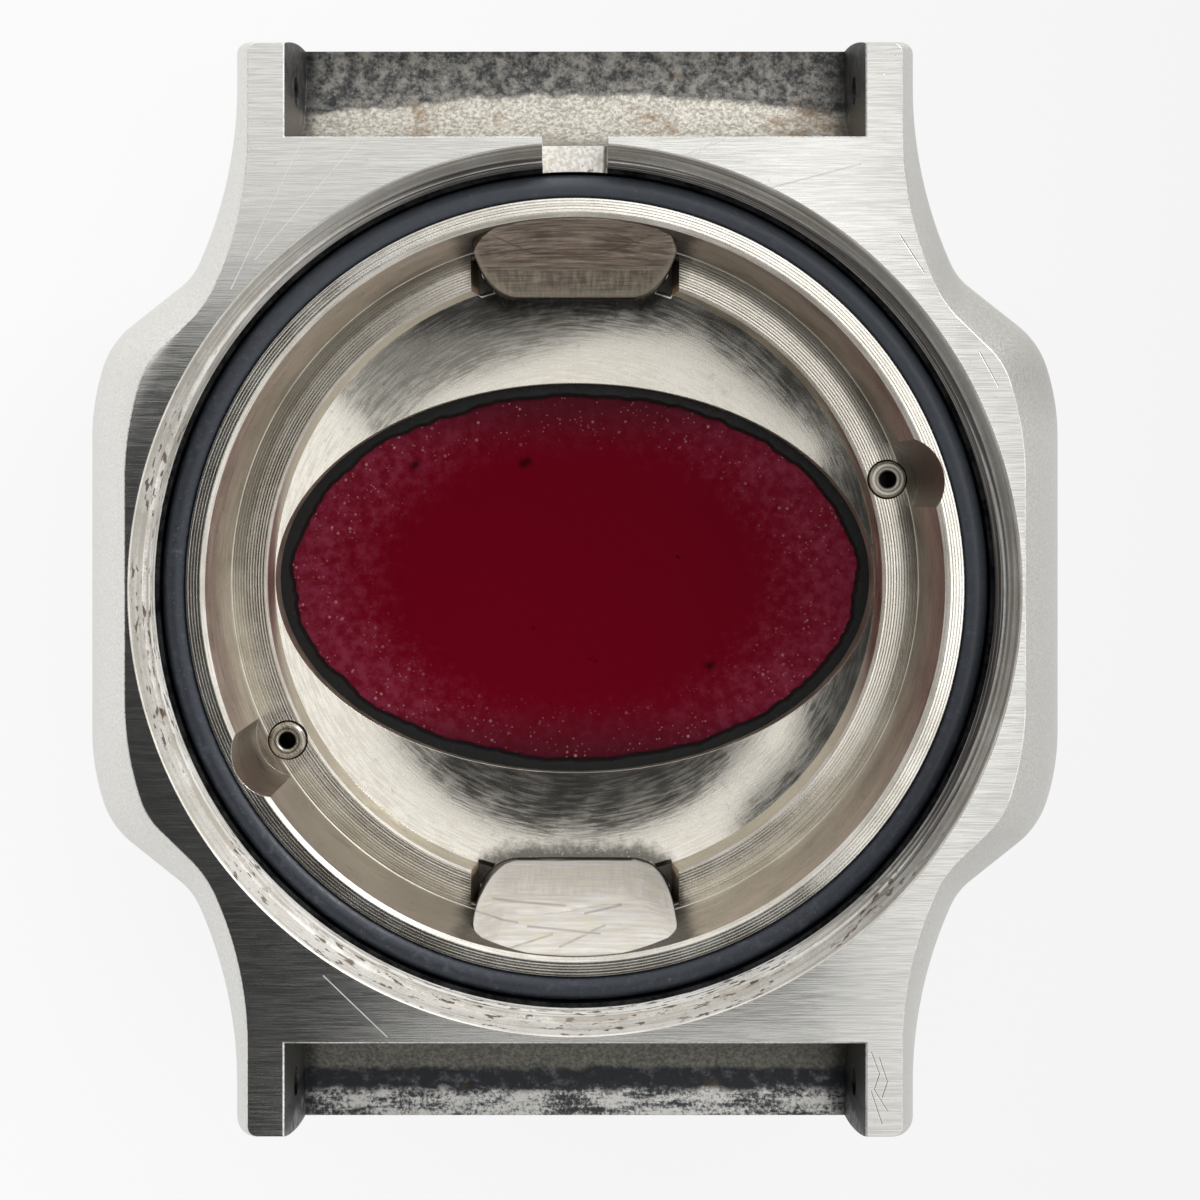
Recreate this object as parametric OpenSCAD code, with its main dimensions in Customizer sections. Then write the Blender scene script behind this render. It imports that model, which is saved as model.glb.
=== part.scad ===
// Open-backed steel wristwatch case with an oval window and two magnet pushers.
// It lies on its front: +Z points out of the open back and +Y towards 12 o'clock.
// Depths are measured down from the back face, heights up from the front.

/* [Outline] */
// Height from the front face to the back face
case_h = 13.2; // [13:0.1:14]
// Half width across the wings at their widest
wing_half_w = 19.75; // [19.4:0.05:20.2]
// Half width across the outsides of the lugs at their widest
lug_half_w = 13.75; // [13.5:0.05:14]
// Half length to the ends of the lugs
lug_reach = 21.75; // [21.5:0.05:22.2]
// How far the wing flank leans out below the back face
wing_lean = 2.68; // [2.2:0.02:2.9]
// How far the lug flank leans out below the back face
lug_lean = 1.35; // [1.1:0.05:1.5]
// How far the lug ends lean out below the back face
tip_lean = 1.05; // [0.8:0.05:1.2]
// Depth of the widest line
waist_d = 7; // [6.5:0.1:7.5]
// How far the flank rounds in again towards the front
front_round = 3.8; // [3:0.1:4.5]
// Half length of the straight edge of a wing
wing_straight = 4.2; // [3.6:0.1:4.6]
// Radius of the small corners at the lug ends
tip_corner_r = 0.35; // [0.2:0.05:0.6]
// Width of the bevel round the back face
edge_bevel = 0.14; // [0.08:0.02:0.2]

/* [Front] */
// Half length of the flat middle of the barrel-shaped front
front_flat = 7; // [6:0.5:7.5]
// Radius of the curve from the flat to the lug ends
front_r = 19.9; // [19.5:0.1:22]

/* [Strap] */
// Gap between the lugs, the width of the strap
strap_w = 22; // [21.5:0.5:22]
// Distance from the middle to the wall behind the strap
cove_y = 17.16; // [17.1:0.02:17.4]
// Radius of the hollow that the strap's end turns in
cove_r = 3.6; // [3.4:0.05:3.7]
// Depth of the centre of that hollow
cove_d = 2.3; // [2.1:0.1:2.5]
// Distance from the middle to the spring-bar holes
bar_y = 19.5; // [19.3:0.1:19.8]
// Depth of the spring-bar holes
bar_d = 3.2; // [3:0.1:3.5]
// Radius of a spring-bar hole
bar_hole_r = 0.6; // [0.5:0.05:0.7]
// Length of a spring-bar hole
bar_hole_l = 1.5; // [1.2:0.1:1.6]

/* [Back opening] */
// Radius of the opening's rim
mouth_r = 16.92; // [16.85:0.01:17]
// Radius at the foot of the rim's chamfer
step_r = 16.5; // [16.4:0.02:16.7]
// Depth of the rim's chamfer
mouth_chamfer = 0.4; // [0.3:0.05:0.5]
// Depth of the small step under the chamfer
step_d = 0.65; // [0.55:0.05:0.75]
// Radius of the wall that centres a back cover
register_r = 16.33; // [16.32:0.01:16.38]
// Depth of the foot of that wall
register_d = 1.95; // [1.85:0.05:2]
// Width of the key notch at 12 o'clock
notch_w = 2.5; // [2:0.1:3]
// Depth of the key notch
notch_d = 2; // [1.6:0.1:2.2]

/* [Sealing ring] */
// Radius of the middle of the sealing ring
seal_r = 15.66; // [15.62:0.01:15.7]
// Thickness of the sealing ring
seal_t = 0.92; // [0.86:0.02:0.94]
// Depth of the top of the sealing ring
seal_d = 1.98; // [1.9:0.02:2.1]
// Clearance on each side of the sealing ring in its groove
seal_clear = 0.03; // [0.02:0.01:0.05]

/* [Module cavity] */
// Depth of the land inside the sealing ring
land_d = 2.2; // [2.15:0.05:2.3]
// Chamfer at the land's inner edge
land_chamfer = 0.25; // [0.15:0.05:0.3]
// Radius of the deep bore
bore_r = 14.45; // [14.4:0.01:14.55]
// Depth of the ledge that the module sits on
ledge_d = 8.2; // [8:0.1:8.4]
// Radius inside the ledge
inner_r = 12.95; // [12.9:0.01:13]
// Chamfer on the ledge's inner edge
ledge_chamfer = 0.14; // [0.05:0.01:0.2]
// Depth of the dish at its rim
dish_d = 10.3; // [10.2:0.05:10.4]
// Radius of the dish's hollow
dish_r = 49; // [45:1:60]

/* [Window] */
// Half length of the opening in the lip
lip_a = 12.92; // [12.8:0.01:12.94]
// Half width of the opening in the lip
lip_b = 8.5; // [8.3:0.05:8.7]
// How far the glass laps behind the lip
glass_lap = 0.35; // [0.3:0.05:0.4]
// Thickness of the glass
glass_t = 0.95; // [0.9:0.05:1]
// Depth of the glass below the front face
glass_sink = 0.1; // [0.05:0.05:0.15]
// Thickness of the gasket round the glass
gasket_t = 0.35; // [0.3:0.05:0.4]
// How far the gasket shows inside the lip's opening
gasket_show = 0.55; // [0.4:0.05:0.7]
// Clearance between the gasket, the glass and the pocket
gasket_clear = 0.02; // [0.01:0.01:0.03]

/* [Module screw bushes] */
// Distance from the middle to the bushes
bush_ring_r = 13.8; // [13.75:0.01:13.85]
// Angle of the right-hand bush from +X
bush_right_angle = 18; // [14:1:22]
// Angle of the left-hand bush from +X
bush_left_angle = 209; // [205:1:213]
// Outer radius of a bush
bush_r = 0.76; // [0.7:0.02:0.8]
// Chamfer on a bush's rim and at its hole
bush_chamfer = 0.1; // [0.05:0.01:0.15]
// Width of the open groove round a bush
bush_groove_w = 0.1; // [0.05:0.01:0.12]
// Depth of that groove below the ledge
bush_groove_d = 0.2; // [0.1:0.05:0.3]
// Radius of a bush's tapped hole
bush_bore_r = 0.33; // [0.3:0.01:0.4]
// Height of a bush above the ledge
bush_h = 0.3; // [0.2:0.05:0.6]
// How deep a bush is set in below the ledge
bush_sunk = 2; // [1.6:0.1:2.2]
// Thickness of the closed end of a bush
bush_floor = 0.5; // [0.3:0.1:0.6]
// Radius of the clearance for a screw's head over a bush
head_r = 1.8; // [1.6:0.05:1.85]
// Distance from the middle to the centre of that clearance
head_ring_r = 13.25; // [13.2:0.01:13.3]
// Height above the ledge at which that clearance stops
head_floor = 0.05; // [0.04:0.01:0.1]

/* [Pusher wells] */
// Width of a well insert
cup_w = 8.2; // [8.1:0.05:8.4]
// Distance from the middle to an insert's innermost face
cup_in = 12.2; // [12.1:0.05:12.3]
// Distance from the middle to an insert's outer face
cup_out = 16.5; // [16.45:0.05:16.6]
// Depth of an insert's foot in the cavity
pad_foot_d = 10.2; // [10:0.05:10.25]
// Depth of the bend in an insert's filed face
pad_bend_d = 6.8; // [6.4:0.1:7.2]
// Distance from the middle to that bend
pad_bend_y = 12.9; // [12.8:0.05:12.95]
// Depth of the top of the filed face
pad_top_d = 2.6; // [2.55:0.05:2.8]
// Distance from the middle to the top of the filed face
pad_top_y = 14.35; // [14.25:0.05:14.4]
// Depth of the insert's shoulder under the sealing groove
cup_shoulder_d = 3.5; // [3.4:0.05:3.7]
// Wall between an insert's thin top and the sealing groove
tongue_wall = 0.35; // [0.2:0.05:0.5]
// Width of the break in the ledge beside an insert
ledge_break_w = 9.5; // [9.2:0.1:10]
// How far that break stops short of the bore's wall
ledge_break_rim = 0.05; // [0.04:0.01:0.1]
// Clearance of the brazed joint round an insert
cup_clear = 0.02; // [0.01:0.01:0.03]

/* [Pushers] */
// Width of a pusher
pusher_w = 7.4; // [7:0.1:7.5]
// Length of a pusher's face from front to back
pusher_l = 2.3; // [2.2:0.05:2.35]
// Distance from the middle to a pusher's axis
pusher_y = 14.8; // [14.75:0.05:14.85]
// How far a pusher stands proud of the front
pusher_proud = 0.5; // [0.4:0.05:0.55]
// Height of a pusher's inner end
pusher_top = 4.7; // [4.6:0.1:4.9]
// Height of the closed end of a well
well_top = 6.5; // [6.4:0.05:6.6]
// How far a pusher travels
travel = 0.6; // [0.4:0.05:0.7]
// Running clearance of a pusher in its well
run_clear = 0.05; // [0.03:0.01:0.07]
// Radius of the cross pin that holds a pusher in
pin_r = 0.25; // [0.2:0.05:0.25]
// How far the cross pin reaches into the insert's inner wall
pin_grip = 0.35; // [0.2:0.05:0.4]
// Height of the cross pin
pin_z = 3; // [2.95:0.05:3.05]
// Width of a magnet
magnet_w = 3; // [2.6:0.1:3]
// Depth of a magnet, across the pusher
magnet_l = 1.4; // [1.2:0.1:1.5]
// Height of a magnet
magnet_h = 1; // [0.8:0.05:1]
// Clearance round a magnet in its pocket
magnet_clear = 0.02; // [0.01:0.01:0.03]
// Outer radius of a return spring
spring_r = 0.75; // [0.7:0.01:0.78]
// Radius inside a return spring
spring_in_r = 0.5; // [0.4:0.05:0.55]
// Distance from a pusher's middle to each spring
spring_x = 2.5; // [2.45:0.05:2.6]
// Depth of a spring's seat in the pusher
spring_seat = 1.2; // [1:0.1:1.3]
// Clearance round a spring in its seat
spring_clear = 0.08; // [0.05:0.01:0.09]

/* [Hidden] */
$fn = 96;

steel = "#b9b9b4";
turned_steel = "#8a8578";
rubber_black = "#1b1f27";
ruby = "#5a0012";

// A length that carries a cut clear of the faces it opens
through = 1;
// The outline's tangent arcs as [radius, heading where the arc ends], at the back face and at the waist:
// a gentle and a tight corner of the wing, then a tight and a long hollow up to the lug
back_arcs = [[12, 18], [3, 46], [4.5, 24], [14, 0]];
waist_arcs = [[9, 18], [3.5, 52], [2.5, 24], [18, 0]];
// How much further along its length the wing is straight at the waist
waist_more = 1.9;
// Points on each arc, on a lug corner, and levels above and below the waist
arc_steps = 5;
corner_steps = 3;
upper_levels = 6;
lower_levels = 6;
// Angle at which the lower flank meets the flat front
lower_sweep = 80;
// A flank near to straight, with a slight belly
flank_power = 0.9;
// Points round the window, and where the turned surfaces start, away from the window's ends
oval_steps = 120;
seam_angle = 50;
// The dish's turned bands, which end this far inside the window's opening
dish_steps = 8;
dish_overrun = 0.5;
dish_foot_r = lip_b - dish_overrun;

groove_out = seal_r + seal_t / 2 + seal_clear;
groove_in = seal_r - seal_t / 2 - seal_clear;
groove_d = seal_d + seal_t + seal_clear;
pocket_z = glass_sink + glass_t + gasket_clear + gasket_t + gasket_clear;
glass_a = lip_a + glass_lap;
glass_b = lip_b + glass_lap;
pocket_grow = glass_lap + gasket_t + 2 * gasket_clear;
cup_round = (cup_out - cup_in) / 2;
cup_mid = (cup_out + cup_in) / 2;
well_w = pusher_w + 2 * run_clear;
well_l = pusher_l + 2 * run_clear;
dish_rim_z = case_h - dish_d;

function along(a) = [cos(a), sin(a)];

// A run of points on an arc that starts at p with its outward normal at a0
function bulge(p, r, a0, a1) = [
  for (i = [1:arc_steps])
    p - r * along(a0) + r * along(a0 + (a1 - a0) * i / arc_steps)
];

// The same for a hollow, whose centre lies outside the outline
function hollow(p, r, a0, a1) = [
  for (i = [1:arc_steps])
    p + r * along(a0) - r * along(a0 + (a1 - a0) * i / arc_steps)
];

function last(v) = v[len(v) - 1];

// Width that the four arcs take up between the wing and the lug
function arcs_width(arcs) =
  arcs[0][0] * (1 - cos(arcs[0][1]))
  + arcs[1][0] * (cos(arcs[0][1]) - cos(arcs[1][1]))
  + arcs[2][0] * (cos(arcs[2][1]) - cos(arcs[1][1]))
  + arcs[3][0] * (cos(arcs[3][1]) - cos(arcs[2][1]));

// A quarter of the outline, from the wing on the X axis to the end of the lug
function quarter(w, lug_w, reach, straight, arcs) =
  let (
    start = [w, straight],
    corner = bulge(start, arcs[0][0], 0, arcs[0][1]),
    knee = bulge(last(corner), arcs[1][0], arcs[0][1], arcs[1][1]),
    slope = (w - lug_w - arcs_width(arcs)) / sin(arcs[1][1]),
    foot = last(knee) + slope * along(arcs[1][1] + 90),
    nook = hollow(foot, arcs[2][0], arcs[1][1], arcs[2][1]),
    waist = hollow(last(nook), arcs[3][0], arcs[2][1], arcs[3][1]),
    tip = [
      for (i = [0:corner_steps])
        [lug_w - tip_corner_r, reach - tip_corner_r] + tip_corner_r * along(90 * i / corner_steps)
    ]
  )
  concat([start], corner, knee, [foot], nook, waist, tip);

function flipped(points) = [for (i = [len(points) - 1:-1:0]) points[i]];

function whole(q) = concat(
  q,
  [for (p = flipped(q)) [-p[0], p[1]]],
  [for (p = q) [-p[0], -p[1]]],
  [for (p = flipped(q)) [p[0], -p[1]]]
);

back_outline = whole(quarter(
  wing_half_w - wing_lean, lug_half_w - lug_lean, lug_reach - tip_lean, wing_straight, back_arcs
));
waist_outline = whole(quarter(
  wing_half_w, lug_half_w, lug_reach, wing_straight + waist_more, waist_arcs
));

// Levels of the flank as [height, share of the way from the back outline to the waist outline]
bevel_share = edge_bevel / wing_lean;
upper_flank = [
  for (i = [0:upper_levels])
    let (t = i / upper_levels)
    [case_h - edge_bevel - (waist_d - edge_bevel) * t, pow(sin(90 * t), flank_power)]
];
lower_flank = [
  for (i = [1:lower_levels])
    let (a = lower_sweep * i / lower_levels)
    [
      (case_h - waist_d) * (1 - sin(a) / sin(lower_sweep)),
      1 - front_round / wing_lean * (1 - cos(a)) / (1 - cos(lower_sweep))
    ]
];
flank = concat(
  [[case_h + through, -bevel_share], [case_h, -bevel_share]],
  upper_flank,
  lower_flank,
  [[-through, last(lower_flank)[1]]]
);

function level(z, share) = [
  for (i = [0:len(back_outline) - 1])
    let (p = back_outline[i] + share * (waist_outline[i] - back_outline[i]))
    [p[0], p[1], z]
];

module flank_solid() {
  count = len(back_outline);
  points = [for (s = flank) each level(s[0], s[1])];
  sides = [
    for (j = [0:len(flank) - 2], i = [0:count - 1])
      let (k = (i + 1) % count, a = j * count, b = a + count)
      each [[a + i, a + k, b + k], [a + i, b + k, b + i]]
  ];
  top = [for (i = [count - 1:-1:0]) i];
  bottom = [for (i = [0:count - 1]) (len(flank) - 1) * count + i];
  polyhedron(points = points, faces = concat([top], sides, [bottom]), convexity = 8);
}

// A shape drawn in Y and Z, run along X to both sides of the middle
module along_x(width) {
  rotate([90, 0, 90]) linear_extrude(height = width, center = true) children();
}

// Flat in the middle and curved away towards both lug ends; grow moves the curve outwards
module barrel(grow = 0) {
  along_x(2 * (wing_half_w + through)) intersection() {
    union() {
      translate([-front_flat, -grow]) square([2 * front_flat, case_h + grow]);
      for (side = [-1, 1])
        translate([side * front_flat, front_r]) circle(r = front_r + grow, $fn = 720);
    }
    translate([-lug_reach - through, -grow])
      square([2 * (lug_reach + through), case_h + grow]);
  }
}

module oval(grow, z0, z1) {
  a = lip_a + grow;
  b = lip_b + grow;
  translate([0, 0, z0]) linear_extrude(height = z1 - z0)
    polygon([
      for (i = [0:oval_steps - 1])
        [a * cos(360 * i / oval_steps), b * sin(360 * i / oval_steps)]
    ]);
}

// An upright block with round ends, centred at y
module stadium(width, length, y, z0, z1) {
  translate([0, y, z0]) {
    for (side = [-1, 1])
      translate([side * (width - length) / 2, 0, 0]) cylinder(r = length / 2, h = z1 - z0);
    translate([-(width - length) / 2, -length / 2, 0])
      cube([width - length, length, z1 - z0]);
  }
}

// Height of the dish at radius r, part of a large ball
function dish_z(r) =
  dish_rim_z + sqrt(dish_r * dish_r - inner_r * inner_r) - sqrt(dish_r * dish_r - r * r);

// The stepped back opening, the bore and the dish
module back_opening() {
  dish = [
    for (i = [0:dish_steps])
      let (r = inner_r + (dish_foot_r - inner_r) * i / dish_steps)
      [r, dish_z(r)]
  ];
  rotate([0, 0, seam_angle]) rotate_extrude() polygon(concat([
    [0, case_h + through],
    [mouth_r, case_h + through],
    [mouth_r, case_h],
    [step_r, case_h - mouth_chamfer],
    [step_r, case_h - step_d],
    [register_r, case_h - step_d],
    [register_r, case_h - register_d],
    [groove_out, case_h - register_d],
    [groove_out, case_h - groove_d],
    [groove_in, case_h - groove_d],
    [groove_in, case_h - land_d],
    [bore_r + land_chamfer, case_h - land_d],
    [bore_r, case_h - land_d - land_chamfer],
    [bore_r, case_h - ledge_d],
    [inner_r + ledge_chamfer, case_h - ledge_d],
    [inner_r, case_h - ledge_d - ledge_chamfer]
  ], dish, [[0, dish_z(dish_foot_r)]]));
}

module strap_gap() {
  z = case_h - cove_d;
  along_x(strap_w) {
    translate([cove_y + cove_r, z]) circle(r = cove_r);
    translate([cove_y, z]) square([lug_reach, cove_d + through]);
  }
}

module bar_holes() {
  for (side = [-1, 1])
    translate([side * (strap_w / 2 + (bar_hole_l - through) / 2), bar_y, case_h - bar_d])
      rotate([0, 90, 0]) cylinder(r = bar_hole_r, h = bar_hole_l + through, center = true);
}

module key_notch() {
  translate([-notch_w / 2, seal_r, case_h - notch_d])
    cube([notch_w, cove_y - seal_r + through, notch_d + through]);
}

module head_clearance(angle) {
  rotate([0, 0, angle]) translate([head_ring_r, 0, case_h - ledge_d + head_floor])
    cylinder(r = head_r, h = ledge_d);
}

// The hole that a bush is set in, with a shallow groove round its mouth
module bush_seat(angle) {
  rotate([0, 0, angle]) translate([bush_ring_r, 0, case_h - ledge_d]) {
    translate([0, 0, -bush_sunk]) cylinder(r = bush_r, h = bush_sunk + through);
    translate([0, 0, -bush_groove_d]) cylinder(r = bush_r + bush_groove_w, h = bush_groove_d + through);
  }
}

// The ledge stops on both sides of a well insert
module ledge_break() {
  height = dish_d - ledge_d + ledge_chamfer;
  intersection() {
    translate([0, 0, dish_rim_z]) cylinder(r = bore_r - ledge_break_rim, h = height);
    translate([-ledge_break_w / 2, cup_in - cup_round, dish_rim_z])
      cube([ledge_break_w, bore_r, height]);
  }
}

// The insert's outer shape. grow is the joint's clearance, and front is how far it passes the front
module cup_form(grow, front) {
  intersection() {
    stadium(cup_w + 2 * grow, 2 * (cup_round + grow), cup_mid, -front, case_h);
    along_x(cup_w + 2 * through) polygon([
      [cup_in - grow, -front],
      [cup_in - grow, case_h - pad_foot_d],
      [pad_bend_y - grow, case_h - pad_bend_d],
      [pad_top_y - grow, case_h - pad_top_d + grow],
      [cup_out + grow, case_h - pad_top_d + grow],
      [cup_out + grow, -front]
    ]);
    translate([0, 0, -front]) union() {
      cylinder(r = lug_reach, h = case_h - cup_shoulder_d + grow + front);
      cylinder(r = groove_in - tongue_wall - cup_clear + grow, h = case_h + front);
    }
  }
}

module case_body() {
  color(steel) difference() {
    intersection() {
      flank_solid();
      barrel();
    }
    back_opening();
    for (turn = [0, 180]) rotate([0, 0, turn]) {
      strap_gap();
      bar_holes();
      ledge_break();
      cup_form(cup_clear, through);
    }
    key_notch();
    oval(0, -through, dish_rim_z + ledge_chamfer);
    oval(pocket_grow, -through, pocket_z);
    for (angle = [bush_right_angle, bush_left_angle]) {
      head_clearance(angle);
      bush_seat(angle);
    }
  }
}

module window() {
  color(ruby) oval(glass_lap, glass_sink, glass_sink + glass_t);
}

// An L-shaped ring: one leg round the glass's edge, the other between the glass and the lip
module window_gasket() {
  seat_z = glass_sink + glass_t + gasket_clear;
  color(rubber_black) difference() {
    oval(pocket_grow - gasket_clear, glass_sink, seat_z + gasket_t);
    oval(glass_lap + gasket_clear, -through, seat_z);
    oval(-gasket_show, -through, case_h);
  }
}

module back_sealing_ring() {
  color(rubber_black) translate([0, 0, case_h - seal_d - seal_t / 2])
    rotate_extrude() translate([seal_r, 0]) circle(r = seal_t / 2);
}

module screw_bush(angle) {
  height = bush_sunk + bush_h;
  color(turned_steel) rotate([0, 0, angle])
    translate([bush_ring_r, 0, case_h - ledge_d - bush_sunk]) rotate_extrude() polygon([
      [0, 0],
      [bush_r, 0],
      [bush_r, height - bush_chamfer],
      [bush_r - bush_chamfer, height],
      [bush_bore_r + bush_chamfer, height],
      [bush_bore_r, height - bush_chamfer],
      [bush_bore_r, bush_floor],
      [0, bush_floor]
    ]);
}

module well_insert(turn) {
  color(turned_steel) rotate([0, 0, turn]) difference() {
    intersection() {
      cup_form(0, 0);
      barrel();
    }
    stadium(well_w, well_l, pusher_y, -through, well_top);
    pin_bar(pin_r, cup_out + through);
  }
}

// The cross pin's shape, from inside the insert's inner wall outwards to y1
module pin_bar(r, y1) {
  y0 = pusher_y - well_l / 2 - pin_grip;
  translate([0, y0, pin_z]) rotate([-90, 0, 0]) cylinder(r = r, h = y1 - y0);
}

module cross_pin(turn) {
  color(steel) rotate([0, 0, turn]) pin_bar(pin_r, cup_out);
}

module pusher(turn) {
  slot_bottom = pin_z - pin_r - travel - run_clear;
  slot_top = pin_z + pin_r + run_clear;
  color(steel) rotate([0, 0, turn]) difference() {
    intersection() {
      stadium(pusher_w, pusher_l, pusher_y, 0, pusher_top);
      barrel(pusher_proud);
    }
    translate([-pin_r - run_clear, pusher_y - pusher_l, slot_bottom])
      cube([2 * (pin_r + run_clear), 2 * pusher_l, slot_top - slot_bottom]);
    magnet_block(magnet_clear, through);
    for (side = [-1, 1])
      translate([side * spring_x, pusher_y, pusher_top - spring_seat])
        cylinder(r = spring_r + spring_clear, h = spring_seat + through);
  }
}

module magnet_block(grow, above) {
  translate([-magnet_w / 2 - grow, pusher_y - magnet_l / 2 - grow, pusher_top - magnet_h - grow])
    cube([magnet_w + 2 * grow, magnet_l + 2 * grow, magnet_h + grow + above]);
}

module magnet(turn) {
  color("dimgray") rotate([0, 0, turn]) magnet_block(0, 0);
}

module return_spring(turn, side) {
  bottom = pusher_top - spring_seat;
  color("silver") rotate([0, 0, turn]) translate([side * spring_x, pusher_y, bottom]) difference() {
    cylinder(r = spring_r, h = well_top - bottom);
    translate([0, 0, -through]) cylinder(r = spring_in_r, h = well_top - bottom + 2 * through);
  }
}

case_body();
window();
window_gasket();
back_sealing_ring();
screw_bush(bush_right_angle);  // right_screw_bush
screw_bush(bush_left_angle);  // left_screw_bush
well_insert(0);  // upper_well_insert
well_insert(180);  // lower_well_insert
pusher(0);  // upper_pusher
pusher(180);  // lower_pusher
magnet(0);  // upper_magnet
magnet(180);  // lower_magnet
return_spring(0, -1);  // upper_left_spring
return_spring(0, 1);  // upper_right_spring
return_spring(180, 1);  // lower_left_spring
return_spring(180, -1);  // lower_right_spring
cross_pin(0);  // upper_cross_pin
cross_pin(180);  // lower_cross_pin
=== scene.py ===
"""Looks of an open-backed steel wristwatch case: brushed and turned steel, rubber ring, oval red window.

Lengths are in millimetres, and shape() writes them in metres. Heights are measured up from the flat front.
X runs to the right and Y to 12 o'clock, seen from the open back.
"""

import math

import bmesh
import bpy
from mathutils import Matrix, Vector, noise

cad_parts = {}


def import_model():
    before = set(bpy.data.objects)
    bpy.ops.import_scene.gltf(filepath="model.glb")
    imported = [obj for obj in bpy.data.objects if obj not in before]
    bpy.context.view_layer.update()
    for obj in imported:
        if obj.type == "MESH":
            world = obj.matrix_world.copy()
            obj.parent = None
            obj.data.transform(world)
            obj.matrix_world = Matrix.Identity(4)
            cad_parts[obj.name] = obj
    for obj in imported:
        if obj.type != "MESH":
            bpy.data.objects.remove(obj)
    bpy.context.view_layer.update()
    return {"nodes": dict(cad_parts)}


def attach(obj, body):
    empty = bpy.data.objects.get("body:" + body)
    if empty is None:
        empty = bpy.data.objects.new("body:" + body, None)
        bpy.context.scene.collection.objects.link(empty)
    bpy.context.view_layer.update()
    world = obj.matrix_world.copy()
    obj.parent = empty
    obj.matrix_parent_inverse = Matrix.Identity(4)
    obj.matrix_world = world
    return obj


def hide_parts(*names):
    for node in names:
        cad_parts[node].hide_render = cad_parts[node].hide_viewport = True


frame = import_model()

METRES = 0.001

# Outline and flank
CASE_H = 13.2
WING_HALF_W = 19.75
LUG_HALF_W = 13.75
LUG_REACH = 21.74
WING_LEAN = 2.68
LUG_LEAN = 1.35
TIP_LEAN = 1.05
WAIST_Z = 6.2
FRONT_ROUND = 3.8
WING_STRAIGHT = 4.2
WAIST_MORE = 1.9
TIP_CORNER = 0.35
EDGE_BEVEL = 0.05
# Rounding of that bevel, from the back face outward: shares of its depth and of its width
BEVEL_ROUND = ((0, 1), (0.15, 0.5), (0.5, 0.15))

# Arcs of the outline from the wing to the lug: radius, and heading in degrees at the arc's end
BACK_ARCS = ((12, 18), (3, 46), (4.5, 24), (14, 0))
WAIST_ARCS = ((9, 18), (3.5, 52), (2.5, 24), (18, 0))

FLANK_POWER = 0.9
LOWER_SWEEP = 80
FRONT_FLAT = 7
FRONT_R = 19.9
FRONT_CUT_HALF_W = 22
FRONT_STEPS = 120
UPPER_RINGS, LOWER_RINGS = 14, 12

# Strap hollows
STRAP_W = 22
COVE_Y = 17.16
COVE_R = 3.6
COVE_Z = CASE_H - 2.3
BAR_Y = 19.5
BAR_Z = CASE_H - 3.2
BAR_HOLE_R = 0.6
BAR_HOLE_L = 1.5

# Back opening
MOUTH_R = 16.92
STEP_R = 16.5
STEP_Z = CASE_H - 0.65
MOUTH_CHAMFER = 0.4
CHAMFER_Z = CASE_H - MOUTH_CHAMFER
EDGE_W = 0.05
REGISTER_R = 16.33
REGISTER_Z = CASE_H - 1.95
SEAL_R = 15.66
SEAL_T = 0.92
SEAL_Z = CASE_H - 1.98 - SEAL_T / 2
SEAL_CLEAR = 0.03
LAND_Z = CASE_H - 2.2
LAND_CHAMFER = 0.16
BORE_R = 14.45
LEDGE_Z = CASE_H - 8.2
INNER_R = 12.95
LEDGE_CHAMFER = 0.1
LEDGE_RISE = 0.05
LAND_RISE = 0.012
WALL_FILLET = 0.04
DISH_Z = CASE_H - 10.3
DISH_R = 49
DISH_BANDS = 24
RIDGE_D = 0.012
FINE_RIDGE_D = 0.006
LEDGE_RIDGE_D = 0.009
# A tool mark, as shares of its pitch and of its depth: a flat, then a V
RIDGE_FORM = ((0, 0), (0.7, 0), (0.85, 1))
OPENING_SEGMENTS = 512
NOTCH_W = 2.5
NOTCH_Z = CASE_H - 2

# Window
LIP_A = 12.92
LIP_B = 8.5
OVAL_STEPS = 240
GLASS_LAP = 0.35
GLASS_T = 0.95
GLASS_SINK = 0.1
GASKET_T = 0.35
GASKET_SHOW = 0.55
GASKET_CLEAR = 0.02
GASKET_BEVEL = 0.14
GASKET_STEPS = 480
# Tears of the gasket's inner edge: depth, waves round the oval and the noise's seed
GASKET_TEARS = ((0.16, 6, 0), (0.1, 22, 5))
DISH_FOOT_R = LIP_B - 0.5

# Screw bushes
BUSH_RING_R = 13.8
BUSH_ANGLES = (18, 209)
BUSH_R = 0.76
BUSH_SUNK = 2
BUSH_GROOVE_W = 0.07
BUSH_GROOVE_D = 0.2
HEAD_R = 1.8
HEAD_RING_R = 13.25
HEAD_FLOOR = 0.13
BUSH_BORE_R = 0.38

# Well inserts
CUP_W = 8.3
CUP_IN = 12.1
CUP_CORNER = 1.7
CUP_OUT = 16.5
CUP_CLEAR = 0.02
CUP_TOP_W = 4.4
CUP_ROUND_Z = 7.6
CUP_TOP_R = 14.8
CUP_SHOULDER_Z = CASE_H - 3.5
PAD_FOOT_Z = CASE_H - 10.2
PAD_BEND_Z = CASE_H - 6.8
PAD_BEND_Y = 12.9
PAD_TOP_Z = CASE_H - 2.6
PAD_TOP_Y = 14.35
LEDGE_BREAK_W = 8.75
LEDGE_BREAK_SLANT = 0.2
LEDGE_BREAK_RIM = 0.05
PAD_COLUMNS, PAD_ROWS = 110, 90
PAD_OVERRUN = 1.04
STROKE_D = 0.05
FINE_STROKE_D = 0.03

# Wells of the pushers
WELL_TOP = 6.5
WELL_W = 7.5
WELL_L = 2.4
WELL_Y = 14.8

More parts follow.
